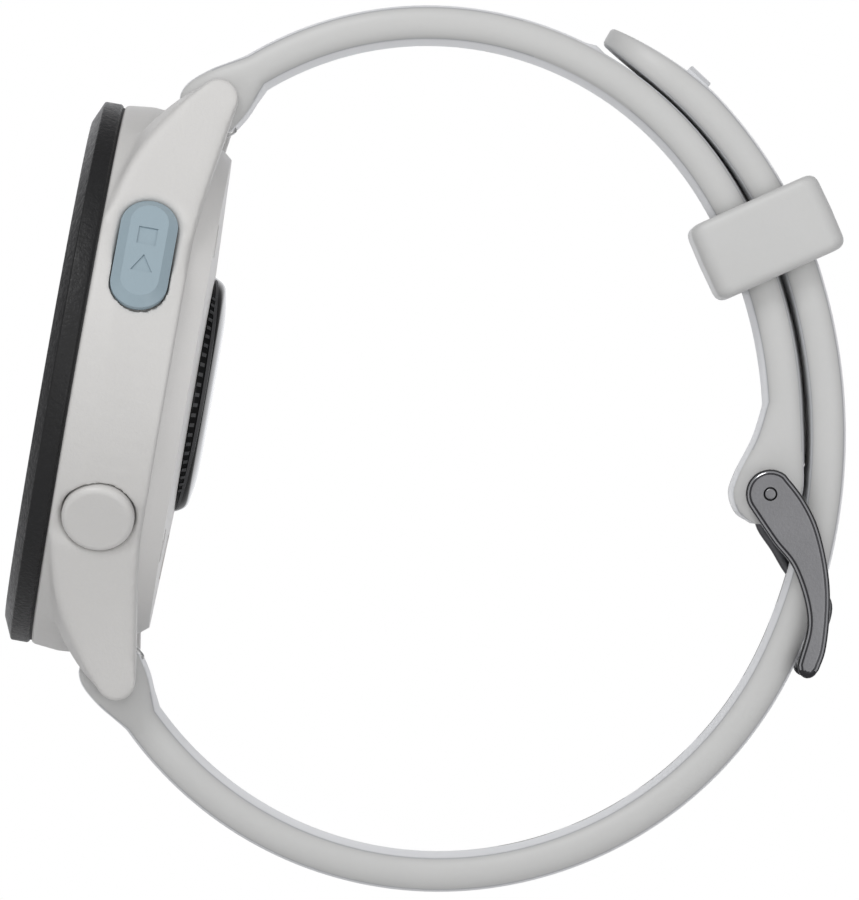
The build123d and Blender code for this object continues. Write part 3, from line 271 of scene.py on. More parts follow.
def rounded(corners, closed=True, steps=4):
    """Outline points with each (a, b, radius) corner eased by a short curve."""
    made = []
    count = len(corners)
    for i, (a, b, radius) in enumerate(corners):
        here = Vector((a, b))
        if radius <= 0 or (not closed and i in (0, count - 1)):
            made.append(here)
            continue
        before = Vector(corners[i - 1][:2]) - here
        after = Vector(corners[(i + 1) % count][:2]) - here
        reach = min(radius, 0.48 * before.length, 0.48 * after.length)
        start, end = here + before.normalized() * reach, here + after.normalized() * reach
        for k in range(steps + 1):
            t = k / steps
            made.append((1 - t) ** 2 * start + 2 * t * (1 - t) * here + t * t * end)
    return made


def turned(name, corners, body, slot, nodes, place, segments=160, closed=True, **more):
    """A lathe piece: corners are (axial, radius, easing); place maps axial, radius and turn to a point."""
    outline = rounded(corners, closed)
    rings = []
    for s in range(segments):
        turn = 2 * pi * s / segments
        rings.append([place(p[0], p[1], turn) for p in outline])
    rings.append(rings[0])
    points, faces = skin(rings, closed_ring=closed, caps=(False, False))
    return piece(name, points, faces, body, slot, nodes, **more)


def on_dial(depth, radius, turn):
    """The lathe place for pieces that are round about the dial's axis."""
    return at(depth, radius * sin(turn), radius * cos(turn))


def cut(target, cutters):
    """Takes the cutters' shapes out of a piece and deletes the cutters."""
    for tool in cutters:
        trim = target.modifiers.new("cut", "BOOLEAN")
        trim.operation = "DIFFERENCE"
        trim.solver = "MANIFOLD"
        trim.object = tool
    bake(target)
    for tool in cutters:
        bpy.data.objects.remove(tool)


def bake(target, sharp=40.0):
    """Applies a piece's modifiers to its own mesh."""
    shown = target.evaluated_get(bpy.context.evaluated_depsgraph_get())
    mesh = bpy.data.meshes.new_from_object(shown)
    target.modifiers.clear()
    target.data = mesh
    mesh.polygons.foreach_set("use_smooth", [True] * len(mesh.polygons))
    mesh.set_sharp_from_angle(angle=radians(sharp))


def curve_through(points, count):
    """Even samples of a smooth curve through the points (centripetal Catmull-Rom)."""
    knots = [Vector(p) for p in points]
    knots = [2 * knots[0] - knots[1]] + knots + [2 * knots[-1] - knots[-2]]
    fine = []
    for i in range(1, len(knots) - 2):
        p0, p1, p2, p3 = knots[i - 1:i + 3]
        t0, t1 = 0.0, sqrt((p1 - p0).length)
        t2 = t1 + sqrt((p2 - p1).length)
        t3 = t2 + sqrt((p3 - p2).length)
        for k in range(24):
            t = t1 + (t2 - t1) * k / 24
            a1 = p0 * ((t1 - t) / (t1 - t0)) + p1 * ((t - t0) / (t1 - t0))
            a2 = p1 * ((t2 - t) / (t2 - t1)) + p2 * ((t - t1) / (t2 - t1))
            a3 = p2 * ((t3 - t) / (t3 - t2)) + p3 * ((t - t2) / (t3 - t2))
            b1 = a1 * ((t2 - t) / (t2 - t0)) + a2 * ((t - t0) / (t2 - t0))
            b2 = a2 * ((t3 - t) / (t3 - t1)) + a3 * ((t - t1) / (t3 - t1))
            fine.append(b1 * ((t2 - t) / (t2 - t1)) + b2 * ((t - t1) / (t2 - t1)))
    fine.append(knots[-2])
    lengths = [0.0]
    for a, b in zip(fine, fine[1:]):
        lengths.append(lengths[-1] + (b - a).length)
    made, i = [], 0
    for k in range(count):
        want = lengths[-1] * k / (count - 1)
        while i < len(fine) - 2 and lengths[i + 1] < want:
            i += 1
        share = (want - lengths[i]) / max(lengths[i + 1] - lengths[i], 1e-9)
        made.append(fine[i].lerp(fine[i + 1], min(max(share, 0), 1)))
    return made


# ---------------------------------------------------------------- the band's two centre lines
STRAP_HALF = 9.85
THICK = 2.8
CLASP, CLASP_R = (20.57, -1.63), 41.24
TAIL_R, TAIL_TURN, TAIL_END = 33.78, 28.15, 68.9
SHORT_START, SHORT_JOIN, SHORT_SHIFT = 13.0, 42.0, 5.1
BAR = (9.2, 22.8)
PIN_TURN, CLASP_TURN, CROSSBAR_TURN = 2.76, -14.7, -14.3
CROSSBAR_R, BULB_R, LAYER_GAP = 0.74, 2.5, 0.45
BAR_OUT, BAR_UP = 2.9, 3.05    # from the spring bar to the start of the plain band
TAIL = polar(CLASP, CLASP_R - TAIL_R, TAIL_TURN)
SHORT = polar(TAIL, -SHORT_SHIFT, TAIL_TURN)
SHORT_R = TAIL_R - THICK - LAYER_GAP + SHORT_SHIFT
PIN = polar(CLASP, CLASP_R - THICK / 2 - 0.37 - BULB_R, PIN_TURN)
CROSSBAR = polar(CLASP, CLASP_R + THICK / 2 + 0.3 + CROSSBAR_R, CROSSBAR_TURN)
LONG_HEADING, SHORT_HEADING = -44.8, 40.9


def meeting_point(start, start_turn, end, end_turn):
    """Where two tangent arcs meet between a start and an end with given headings."""
    a, b = Vector(start), Vector(end)
    u = Vector((cos(radians(start_turn)), sin(radians(start_turn))))
    v = Vector((cos(radians(end_turn)), sin(radians(end_turn))))
    chord = b - a
    bend = 1 - u.dot(v)
    along = chord.dot(u + v)
    reach = (sqrt(along * along + 2 * bend * chord.dot(chord)) - along) / (2 * bend)
    return (a + b + (u - v) * reach) / 2


def tangent_arc(start, heading, end, step=0.8):
    """Points and headings along the arc that leaves start along heading and reaches end."""
    a, b = Vector(start), Vector(end)
    normal = Vector((-sin(radians(heading)), cos(radians(heading))))
    chord = b - a
    radius = chord.dot(chord) / (2 * chord.dot(normal))
    centre = a + normal * radius
    first = atan2(a.y - centre.y, a.x - centre.x)
    last = atan2(b.y - centre.y, b.x - centre.x)
    if radius > 0 and last < first:
        last += 2 * pi
    if radius < 0 and last > first:
        last -= 2 * pi
    return arc_points(centre, abs(radius), first, last, step)


def arc_points(centre, radius, first, last, step=0.8):
    """Points and headings along an arc, about a step apart."""
    count = max(2, int(abs(last - first) * radius / step))
    way = 1 if last > first else -1
    made = []
    for k in range(count + 1):
        turn = first + (last - first) * k / count
        point = Vector((centre[0] + radius * cos(turn), centre[1] + radius * sin(turn)))
        made.append((point, Vector((-sin(turn) * way, cos(turn) * way))))
    return made


def joined(*runs):
    """One line from runs that start where the run before ends."""
    made = list(runs[0])
    for run in runs[1:]:
        made += run[1:]
    return made


long_start = (BAR[0] + BAR_OUT, -BAR[1] - BAR_UP)
long_join = polar(CLASP, CLASP_R, CLASP_TURN)
long_meet = meeting_point(long_start, LONG_HEADING, long_join, CLASP_TURN + 90)
long_first = tangent_arc(long_start, LONG_HEADING, long_meet)
turn_at_meet = long_first[-1][1]
long_line = joined(
    long_first,
    tangent_arc(long_meet, atan2(turn_at_meet.y, turn_at_meet.x) * 180 / pi, long_join),
    arc_points(CLASP, CLASP_R, radians(CLASP_TURN), radians(TAIL_TURN)),
    arc_points(TAIL, TAIL_R, radians(TAIL_TURN), radians(TAIL_END), 0.5),
)
short_start = (BAR[0] + BAR_OUT, BAR[1] + BAR_UP)
short_join = polar(SHORT, SHORT_R, SHORT_JOIN)
short_meet = meeting_point(short_start, SHORT_HEADING, short_join, SHORT_JOIN - 90)
short_first = tangent_arc(short_start, SHORT_HEADING, short_meet)
turn_at_meet = short_first[-1][1]
short_line = joined(
    short_first,
    tangent_arc(short_meet, atan2(turn_at_meet.y, turn_at_meet.x) * 180 / pi, short_join),
    arc_points(SHORT, SHORT_R, radians(SHORT_JOIN), radians(SHORT_START)),
)

# ---------------------------------------------------------------- moulded band
FACE_AT = 1.33                # half thickness at the long edges; the crowns stand beyond it
CROWN_OUT, CROWN_IN = 0.2, 0.3
END_RINGS = 30


def band_ring(outer, inner, half, crown_out, crown_in):
    """One closed ring of the band's section between an outer and an inner point of the side outline."""
    middle = (outer + inner) / 2
    up = outer - inner
    thick = max(up.length, 1e-6)
    up = up / thick
    top = thick / 2
    k = min(1.0, thick / (2 * FACE_AT), half / 3)
    spots = []
    flat = half - 1.2 * k
    for share in (0.0, 0.2, 0.4, 0.6, 0.78, 0.92, 1.0):
        spots.append((flat * share, top + crown_out * (1 - share ** 2)))
    spots += [(half - 1.0 * k, top - 0.012 * k), (half - 0.82 * k, top - 0.04 * k)]
    for turn in (78, 66, 54, 42, 28, 14, 0, -14, -28, -42, -54, -66, -78):
        bulge = sin(radians(turn)) / sin(radians(78))
        spots.append((half - 0.8 * k * (1 - cos(radians(turn))), (top - 0.09 * k) * bulge))
    spots += [(half - 0.82 * k, -top + 0.04 * k), (half - 1.0 * k, -top + 0.012 * k)]
    for share in (1.0, 0.92, 0.78, 0.6, 0.4, 0.2, 0.0):
        spots.append((flat * share, -top - crown_in * (1 - share ** 2)))
    ring = spots + [(-x, v) for x, v in reversed(spots[1:-1])]
    made = []
    for x, v in ring:
        side = middle + up * v
        made.append(at(side.x, side.y, x))
    return made


def line_rings(line, outward, crown_out, crown_in):
    """Rings along a centre line; a crown is a number or a function of a point on its face."""
    rings = []
    for point, run in line:
        normal = Vector((-run.y, run.x)) * outward
        out = crown_out(point + normal * FACE_AT) if callable(crown_out) else crown_out
        inn = crown_in(point - normal * FACE_AT) if callable(crown_in) else crown_in
        rings.append(band_ring(point + normal * FACE_AT, point - normal * FACE_AT, STRAP_HALF, out, inn))
    return rings


def end_rings(side, line, outward):
    """Rings from the plain band round the spring bar to the strap's end."""
    point, run = line[0]
    normal = Vector((-run.y, run.x)) * outward

    def near(depth, height):
        return Vector((BAR[0] + depth, side * (BAR[1] + height)))

    outer = curve_through([point + normal * FACE_AT, near(-0.85, 2.35), near(-2.35, 0.9), near(-2.6, -0.2),
                           near(-1.85, -0.85), near(0.45, -1.25)], END_RINGS)
    inner = curve_through([point - normal * FACE_AT, near(2.85, -0.35), near(2.1, -1.6), near(1.75, -2.1),
                           near(1.3, -2.1), near(0.55, -1.3)], END_RINGS)
    rings = []
    for i, (o, n) in enumerate(zip(outer, inner)):
        fade = max(0.0, 1 - i / 10)
        rings.append(band_ring(o, n, STRAP_HALF, CROWN_OUT * fade, CROWN_IN * fade))
    return list(reversed(rings))


HOLE_PITCH, HOLE_LENGTH, HOLE_WIDTH, HOLE_FLARE = 6.4, 4.4, 2.4, 0.28
CLOSED_HOLE_TURN = -6.5


def hole_cutter(centre, run, normal):
    """Cutter for an oblong hole through the band, with eased rims on both faces."""
    side = Vector((1, 0, 0))
    along = Vector((0, run.x, run.y))
    out = Vector((0, normal.x, normal.y))
    middle = at(centre.x, centre.y)
    rings = []
    for level, grow in ((-4, HOLE_FLARE), (-1.5, HOLE_FLARE), (-1.38, HOLE_FLARE * 0.35), (-1.15, 0),
                        (1.15, 0), (1.38, HOLE_FLARE * 0.35), (1.5, HOLE_FLARE), (4, HOLE_FLARE)):
        ring = []
        radius = HOLE_WIDTH / 2 + grow
        for k in range(32):
            turn = 2 * pi * k / 32
            shift = (HOLE_LENGTH - HOLE_WIDTH) / 2 * (1 if cos(turn) >= 0 else -1)
            spot = along * (shift + radius * cos(turn)) + side * radius * sin(turn)
            ring.append(middle + spot + out * level)
        rings.append(ring)
    points, faces = skin(rings)
    return piece("cutter", points, faces, None, "silicone", ())


def near_pin(depth, height):
    """The outline point at an offset from the buckle pin."""
    return Vector((PIN[0] + depth, PIN[1] + height))


# The two faces that meet in the overlap, and the crowns that fill the space between them.
short_end, run = short_line[-1]
short_normal = Vector((-run.y, run.x))
bulb_low = Vector(polar(PIN, BULB_R + 0.1, -105))
BULB_RINGS, BULB_FACED = 34, 14    # rings round the thick end, and how many of them face the other layer
bulb_outer = curve_through([short_end + short_normal * FACE_AT, polar(CLASP, CLASP_R - THICK / 2 - 0.5, 8),
                            polar(PIN, BULB_R, PIN_TURN), polar(PIN, BULB_R, -50),
                            bulb_low + Vector((0.12, 0.02))], BULB_RINGS)
under_face = [spot + Vector((-way.y, way.x)) * FACE_AT for spot, way in short_line] + bulb_outer[:BULB_FACED]
over_face = [spot + Vector((-way.y, way.x)) * FACE_AT for spot, way in long_line]
LAYER_REACH = 1.6             # the layers are apart where the gap is wider than this


def gap_to(face, spot):
    """The shortest distance from a point to a drawn face."""
    best = 99.0
    for a, b in zip(face, face[1:]):
        run = b - a
        share = min(max((spot - a).dot(run) / max(run.length_squared, 1e-9), 0.0), 1.0)
        best = min(best, (spot - a - run * share).length)
    return best


def crown(face, spot, plain):
    """Crown height at a point: half the gap to the other layer's face, or plain where they are apart."""
    gap = gap_to(face, spot)
    return plain if gap > LAYER_REACH else min(max(gap / 2 - 0.015, 0.1), 0.42)


def under_crown(spot):
    return crown(under_face, spot, CROWN_IN)


def over_crown(spot):
    return crown(over_face, spot, CROWN_OUT)


long_rings = end_rings(-1, long_line, -1) + line_rings(long_line, -1, CROWN_OUT, under_crown)[1:]
TAPER = radians(16.0)
CORNER, TIP_ROUND, TIP_THINS, TIP_STEPS = 6.0, 0.3, 9.4, 44
TIP_TURN = TAIL_END + 0.9
tip_turn = radians(TIP_TURN)
plain_count = 0
for i, (point, _) in enumerate(long_line):
    turn = atan2(point.y - TAIL[1], point.x - TAIL[0])
    if i < len(long_line) // 2 or (tip_turn - turn) * TAIL_R > TAPER * TAIL_R:
        plain_count += 1
body_rings = long_rings[:END_RINGS - 1 + plain_count]
tail_rings = []
for k in range(TIP_STEPS + 1):
    share = k / TIP_STEPS
    ease = sin(share * pi / 2)
    from_tip = TAPER * TAIL_R * (1 - ease)
    turn = tip_turn - from_tip / TAIL_R
    out = Vector((cos(turn), sin(turn)))
    near_end = max(0.0, 1 - from_tip / TIP_THINS)
    thin = near_end ** 1.15
    high = TAIL_R + FACE_AT - 0.85 * thin
    low = TAIL_R - FACE_AT + 0.5 * near_end ** 4
    half = STRAP_HALF
    if from_tip < CORNER:
        half = STRAP_HALF - CORNER + sqrt(max(CORNER ** 2 - (CORNER - from_tip) ** 2, 0))
    if from_tip < TIP_ROUND:
        pinch = TIP_ROUND * (1 - sqrt(max(0.0, 1 - (1 - from_tip / TIP_ROUND) ** 2)))
        high, low = high - pinch, low + pinch
    outer = Vector(TAIL) + out * high
    inner = Vector(TAIL) + out * low
    fill = under_crown(inner) if share < 0.9 else 0.1
    tail_rings.append(band_ring(outer, inner, half, CROWN_OUT * (1 - thin), fill * (1 - thin)))
points, faces = skin(body_rings + tail_rings[1:])
hole_band = piece("hole_band", points, faces, "hole_side", "silicone", ("hole_strap",), sharp=60)

lengths = [0.0]
for (a, _), (b, _) in zip(long_line, long_line[1:]):
    lengths.append(lengths[-1] + (b - a).length)
clasp_arc = arc_points(CLASP, CLASP_R, radians(CLOSED_HOLE_TURN), radians(TAIL_TURN))
clasp_length = sum((b[0] - a[0]).length for a, b in zip(clasp_arc, clasp_arc[1:]))
hole_at = lengths[-1] - TAIL_R * radians(TAIL_END - TAIL_TURN) - clasp_length
cutters = []
for step in range(-5, 6):
    want = hole_at + HOLE_PITCH * step
    i = max(k for k in range(len(lengths) - 1) if lengths[k] <= want)
    share = (want - lengths[i]) / (lengths[i + 1] - lengths[i])
    spot = long_line[i][0].lerp(long_line[i + 1][0], share)
    run = long_line[i][1].lerp(long_line[i + 1][1], share).normalized()
    cutters.append(hole_cutter(spot, run, Vector((run.y, -run.x))))
cut(hole_band, cutters)

# The raised bar near the tail that stops the keeper from slipping off.
RIB_TURN, RIB_HALF, RIB_LIFT = 56.9, 8.2, 0.3
rib_rings = []
for k in range(25):
    share = k / 24
    x = (share - 0.5) * 2 * RIB_HALF
    lift = RIB_LIFT * min(1.0, (1 - abs(share - 0.5) * 2) * 8) ** 0.5
    swell = CROWN_OUT * (1 - (x / STRAP_HALF) ** 2)
    ring = []
    for along, high in ((-2.0, -0.25), (-1.98, 0.0), (-1.95, 0.75), (-1.8, 1.0), (1.8, 1.0), (1.95, 0.75),
                        (1.98, 0.0), (2.0, -0.25)):
        radius = TAIL_R + FACE_AT + swell + (high * lift if high > 0 else high)
        side = polar(TAIL, radius, RIB_TURN + along * 0.5 / TAIL_R * 180 / pi)
        ring.append(at(side[0], side[1], x))
    rib_rings.append(ring)
points, faces = skin(rib_rings)
# The rib wears the lighter copy of the silicone that is painted light.
piece("tail_rib", points, faces, "hole_side", "silicone", (), looks=[SILICONE_PAINTED_LIGHT])

# Buckle side: plain band, then the thick end that holds the pin.
short_rings = end_rings(1, short_line, 1) + line_rings(short_line, 1, over_crown, CROWN_IN)[1:]
inner = curve_through([short_end - short_normal * FACE_AT, near_pin(-1.8, 4.2), near_pin(-2.75, 1.0),
                       near_pin(-2.9, -0.5), near_pin(-2.1, -1.95), bulb_low - Vector((0.12, 0.0))], BULB_RINGS)
for i, (o, n) in enumerate(list(zip(bulb_outer, inner))[1:]):
    short_rings.append(band_ring(o, n, STRAP_HALF, over_crown(o) if i < BULB_FACED - 1 else 0.06, 0.22))
points, faces = skin(short_rings)
buckle_band = piece("buckle_band", points, faces, "buckle_side", "silicone", ("buckle_strap",), sharp=60)


# Normal tilts that bound the painted light on the crowned faces and the painted shade on the edge chamfers.
LIT_FACE_TILT, SHADED_EDGE_TILT, TIP_REACH = 0.32, 0.62, 6.5


def paint_band_light(band):
    """Paints light on a band's crowned faces and shade on its two long edges, as looks of their own."""
    for look in (SILICONE_PAINTED_LIGHT, SILICONE_PAINTED_SHADE):
        band.data.materials.append(look)
    tip, tail_middle = at(*polar(TAIL, TAIL_R, TIP_TURN)) * MM, at(*TAIL) * MM
    for face in band.data.polygons:
        across = abs(face.normal.x)
        from_tip = Vector((0, face.center.y - tip.y, face.center.z - tip.z)).length / MM
        if from_tip < TIP_REACH:
            outward = Vector((0, face.center.y - tail_middle.y, face.center.z - tail_middle.z)).normalized()
            face.material_index = 1 if abs(face.normal.dot(outward)) > 0.93 and from_tip > 0.6 else 0
        else:
            face.material_index = 1 if across < LIT_FACE_TILT else 2 if across < SHADED_EDGE_TILT else 0


paint_band_light(hole_band)
paint_band_light(buckle_band)


def block(low, high):
    """A plain box cutter between two corners in millimetres."""
    xs, ys, zs = zip(low, high)
    rings = [[Vector((x, ys[0], zs[0])), Vector((x, ys[1], zs[0])), Vector((x, ys[1], zs[1])),
              Vector((x, ys[0], zs[1]))] for x in xs]
    points, faces = skin(rings)
    return piece("cutter", points, faces, None, "silicone", ())


slot_low, slot_high = at(PIN[0] - 4, PIN[1] - 4.25, -1.15), at(PIN[0] + 4, PIN[1] + 1.75, 1.15)
cut(buckle_band, [block(slot_low, slot_high)])

# ---------------------------------------------------------------- keeper loop
KEEPER_TURN = 34.1
offset = radians(KEEPER_TURN - TAIL_TURN)
layer_r = sqrt(SHORT_R ** 2 - (SHORT_SHIFT * sin(offset)) ** 2) - SHORT_SHIFT * cos(offset)
keeper_out = TAIL_R + THICK / 2 + LAYER_GAP
keeper_in = layer_r - THICK / 2 - LAYER_GAP
middle_r = (keeper_out + keeper_in) / 2
out_dir = Vector((cos(radians(KEEPER_TURN)), sin(radians(KEEPER_TURN))))
run_dir = Vector((-out_dir.y, out_dir.x))
centre = Vector(TAIL) + out_dir * middle_r
half_w, half_t = STRAP_HALF + 0.35, (keeper_out - keeper_in) / 2
WALL_OUT, WALL_SIDE, KEEPER_HALF = 1.95, 1.6, 3.15
path = []
for sx, st, first in ((1, 1, 0), (-1, 1, 90), (-1, -1, 180), (1, -1, 270)):
    for k in range(9):
        turn = radians(first + 90 * k / 8)
        path.append((sx, st, cos(turn), sin(turn)))
rings = []
section = rounded([(0.0, -KEEPER_HALF, 0.3), (WALL_OUT, -KEEPER_HALF, 1.25), (2.02, 0.0, 0.0),
                   (WALL_OUT, KEEPER_HALF, 1.25), (0.0, KEEPER_HALF, 0.3)], steps=6)
IN_CORNER, OUT_CORNER = 0.4, 1.3
for sx, st, c, s in path:
    ring = []
    inner_x = (half_w - IN_CORNER) * sx + IN_CORNER * c
    inner_t = (half_t - IN_CORNER) * st + IN_CORNER * s
    outer_x = (half_w + WALL_SIDE - OUT_CORNER) * sx + OUT_CORNER * c
    outer_t = (half_t + WALL_OUT - OUT_CORNER) * st + OUT_CORNER * s
    for level, along in section:
        share = level / WALL_OUT
        x = inner_x + (outer_x - inner_x) * share
        t = inner_t + (outer_t - inner_t) * share
        side = centre + out_dir * t + run_dir * along
        ring.append(at(side.x, side.y, x))
    rings.append(ring)
rings.append(rings[0])
points, faces = skin(rings, caps=(False, False))
piece("keeper_ring", points, faces, "keeper_loop", "silicone", ("keeper",), sharp=60)


# ---------------------------------------------------------------- buckle
def plate(name, outline, x_from, x_to, bevel, body, slot, nodes, looks, steps=4):
    """A flat part from a closed side outline; looks are for its face, polished rim, and a painted dark
    reflection on its sides and beside its rim.
    """
    count = len(outline)
    inward = []
    area = sum(outline[i - 1].x * outline[i].y - outline[i].x * outline[i - 1].y for i in range(count))
    way = 1 if area > 0 else -1
    for i in range(count):
        run = (outline[(i + 1) % count] - outline[i - 1]).normalized()
        inward.append(Vector((-run.y, run.x)) * way)
    way_x = 1 if x_to > x_from else -1
    levels = [(x_from, bevel * 1.3)]
    levels += [(x_from + way_x * bevel * (1 - cos(pi / 2 * k / steps)), bevel * (1 - sin(pi / 2 * k / steps)))
               for k in range(steps + 1)]
    levels += [(x_to - way_x * bevel * (1 - sin(pi / 2 * k / steps)), bevel * (1 - cos(pi / 2 * k / steps)))
               for k in range(steps + 1)]
    levels.append((x_to, bevel * 1.3))
    rings = []
    for x, inset in levels:
        rings.append([at(p.x + n.x * inset, p.y + n.y * inset, x) for p, n in zip(outline, inward)])
    points, faces = skin(rings)
    made = piece(name, points, faces, body, slot, nodes, looks=looks, sharp=35)
    # The sides, the foot and a thin line between rim and face get the painted dark reflection.
    for face in made.data.polygons:
        tilt = abs(face.normal.x)
        foot = face.center.z / MM < CROSSBAR[1] - 0.55
        face.material_index = 2 if foot or tilt < 0.7 else 1 if tilt < 0.93 else 2 if tilt < 0.992 else 0
    return made


def near_bar(depth, height):
    """The outline point at an offset from the buckle's crossbar."""
    return Vector((CROSSBAR[0] + depth, CROSSBAR[1] + height))


ARM_X, ARM_THICK = STRAP_HALF + 0.3, 1.9
head = [Vector(polar(PIN, 1.93, 222 - 160 * k / 16)) for k in range(17)]
outside = curve_through([head[-1], near_pin(2.65, 0.1), near_pin(4.17, -1.99), near_pin(5.85, -6.4),
                         near_bar(0.98, 1.2), near_bar(0.72, -0.35)], 44)
foot = curve_through([near_bar(0.72, -0.35), near_bar(0.35, -0.95), near_bar(-0.2, -1.15),
                      near_bar(-0.75, -0.85), near_bar(-1.0, -0.2)], 12)
inside_edge = curve_through([near_bar(-1.0, -0.2), near_bar(-0.82, 3.3), near_pin(2.75, -5.4),
                             near_pin(0.9, -3.7), head[0]], 40)
arm_outline = head[:-1] + outside[:-1] + foot[:-1] + inside_edge[:-1]
for x_side, label in ((1, "right"), (-1, "left")):
    arm = plate(f"buckle_arm_{label}", arm_outline, x_side * ARM_X, x_side * (ARM_X + ARM_THICK), 0.42,
                "buckle", "buckle_metal", ("buckle_frame",), [LOOKS["buckle_metal"], BUCKLE_EDGE, BUCKLE_PAINTED_DARK])
    far = ARM_X + ARM_THICK
    hole = [[at(PIN[0] + r * cos(2 * pi * k / 40), PIN[1] + r * sin(2 * pi * k / 40), x_side * x)
             for k in range(40)] for x, r in ((ARM_X - 1, 0.5), (far - 0.3, 0.5), (far - 0.28, 0.53),
                                              (far - 0.03, 0.53), (far + 0.05, 0.6), (far + 1, 0.6))]
    cut(arm, [piece("cutter", *skin(hole), None, "steel", ())])

bar_rings = []
SEAT_HALF, SEAT_DEPTH = 1.6, 0.6        # the flat on the crossbar where the tang rests
for k in range(41):
    x = -ARM_X - 0.3 + (2 * ARM_X + 0.6) * k / 40
    dip = SEAT_DEPTH * max(0.0, 1 - (abs(x) / SEAT_HALF) ** 4)
    ring = []
    for j in range(24):
        side = polar(CROSSBAR, CROSSBAR_R, 360 * j / 24)
        depth = min(side[0], CROSSBAR[0] + CROSSBAR_R - dip * 1.4)
        ring.append(at(depth, side[1], x))
    bar_rings.append(ring)
points, faces = skin(bar_rings)
piece("buckle_crossbar", points, faces, "buckle", "buckle_metal", ("buckle_frame",))


def on_pin(x, radius, turn):
    """The lathe place for pieces that are round about the buckle pin."""
    return at(PIN[0] + radius * cos(turn), PIN[1] + radius * sin(turn), x)


HEAD_X, SHAFT_R = ARM_X + ARM_THICK, 0.48
turned("pin_shaft", [(-HEAD_X + 0.02, 0.0, 0), (-HEAD_X + 0.02, 0.4, 0.08), (-HEAD_X + 0.15, SHAFT_R, 0.05),
                     (HEAD_X - 0.15, SHAFT_R, 0.05), (HEAD_X - 0.02, 0.4, 0.08), (HEAD_X - 0.02, 0.0, 0)],
       "buckle", "buckle_metal", ("buckle_pin",), on_pin, segments=40, closed=False)

TANG_STEPS = 60
tang_line = curve_through([near_pin(-0.15, -0.9), near_pin(-0.28, -2.25), near_pin(1.35, -4.15),
                           near_pin(3.0, -5.95), near_bar(0.58, 5.0), near_bar(0.58, 2.2),
                           near_bar(0.38, -0.4)], TANG_STEPS)
tang_section = rounded([(0.78, 0.4, 0.3), (-0.78, 0.4, 0.3), (-0.78, -0.4, 0.3), (0.78, -0.4, 0.3)], steps=3)
tang_rings = []
for i, spot in enumerate(tang_line):
    run = (tang_line[min(i + 1, TANG_STEPS - 1)] - tang_line[max(i - 1, 0)]).normalized()
    out = Vector((run.y, -run.x))
    tip = min(1.0, (TANG_STEPS - 1 - i + 0.4) / 4) ** 0.5
    ring = []
    for a, b in tang_section:
        side = spot + out * b * tip
        ring.append(at(side.x, side.y, a * tip))
    tang_rings.append(ring)
points, faces = skin(tang_rings)
piece("tang_blade", points, faces, "tang", "tang_steel", ("buckle_tang",))
turned("tang_eye", [(-0.8, 0.53, 0.1), (-0.8, 1.2, 0.25), (0.8, 1.2, 0.25), (0.8, 0.53, 0.1)], "tang",
       "tang_steel", ("buckle_tang",), on_pin, segments=48)

# ---------------------------------------------------------------- watch body, turned parts
turned("bezel_ring", [(0.0, 17.25, 0.05), (0.0, 19.75, 0.12), (0.77, 21.5, 0.14), (2.09, 21.5, 0.08),
                      (2.24, 21.35, 0.05), (2.24, 16.0, 0), (1.15, 16.0, 0.05), (1.15, 17.25, 0.05)],
       "watch", "bezel_black", ("bezel",), on_dial, segments=240, sharp=50)
turned("sensor_dome", [(13.03, 0.0, 0), (13.03, 6.6, 1.6), (12.6, 8.9, 0.9), (11.7, 9.38, 0.2),
                       (11.0, 9.3, 0)],
       "watch", "sensor_gloss", ("sensor_window",), on_dial, segments=180, closed=False, sharp=60)

SENSOR_R, SENSOR_SLOPE = 9.38, 0.53
SENSOR_GREY = finish("sensor_grey", GRAIN, (0.035, 0.035, 0.037), 0.3, Roughness=0.5, Cloud=0.4)
for x_side, label in ((1, "right"), (-1, "left")):
    rings = []
    for k in range(61):
        turn = radians(-78 + 156 * k / 60)
        depth = 11.72 + 0.72 * cos(turn)
        taper = 0.5 + 0.5 * cos(turn)
        ring = []
        for across, lift in ((-0.16, -0.08), (-0.13, 0.05), (0.13, 0.05), (0.16, -0.08)):
            level = depth + across * (0.4 + 0.6 * taper)
            radius = SENSOR_R - (level - 11.7) * SENSOR_SLOPE + lift
            ring.append(at(level, radius * sin(turn), x_side * radius * cos(turn)))
        rings.append(ring)
    points, faces = skin(rings)
    piece(f"sensor_line_{label}", points, faces, "watch", "sensor_gloss", (), looks=[SENSOR_GREY])
    points, faces = [], []
    for k in range(23):
        turn = radians(-55 + 110 * k / 22)
        top = 12.02 + 0.12 * cos(turn)
        tick_rings = []
        for lift in (-0.1, 0.03):
            ring = []
            for side, level in ((-1, 11.78), (1, 11.78), (1, top), (-1, top)):
                radius = 9.42 - (level - 11.7) * SENSOR_SLOPE + lift
                spot = turn + side * 0.016
                ring.append(at(level, radius * sin(spot), x_side * radius * cos(spot)))
            tick_rings.append(ring)
        ring_points, ring_faces = skin(tick_rings)
        faces += [tuple(i + len(points) for i in face) for face in ring_faces]
        points += ring_points
    piece(f"sensor_ticks_{label}", points, faces, "watch", "sensor_gloss", (), looks=[SENSOR_GREY])

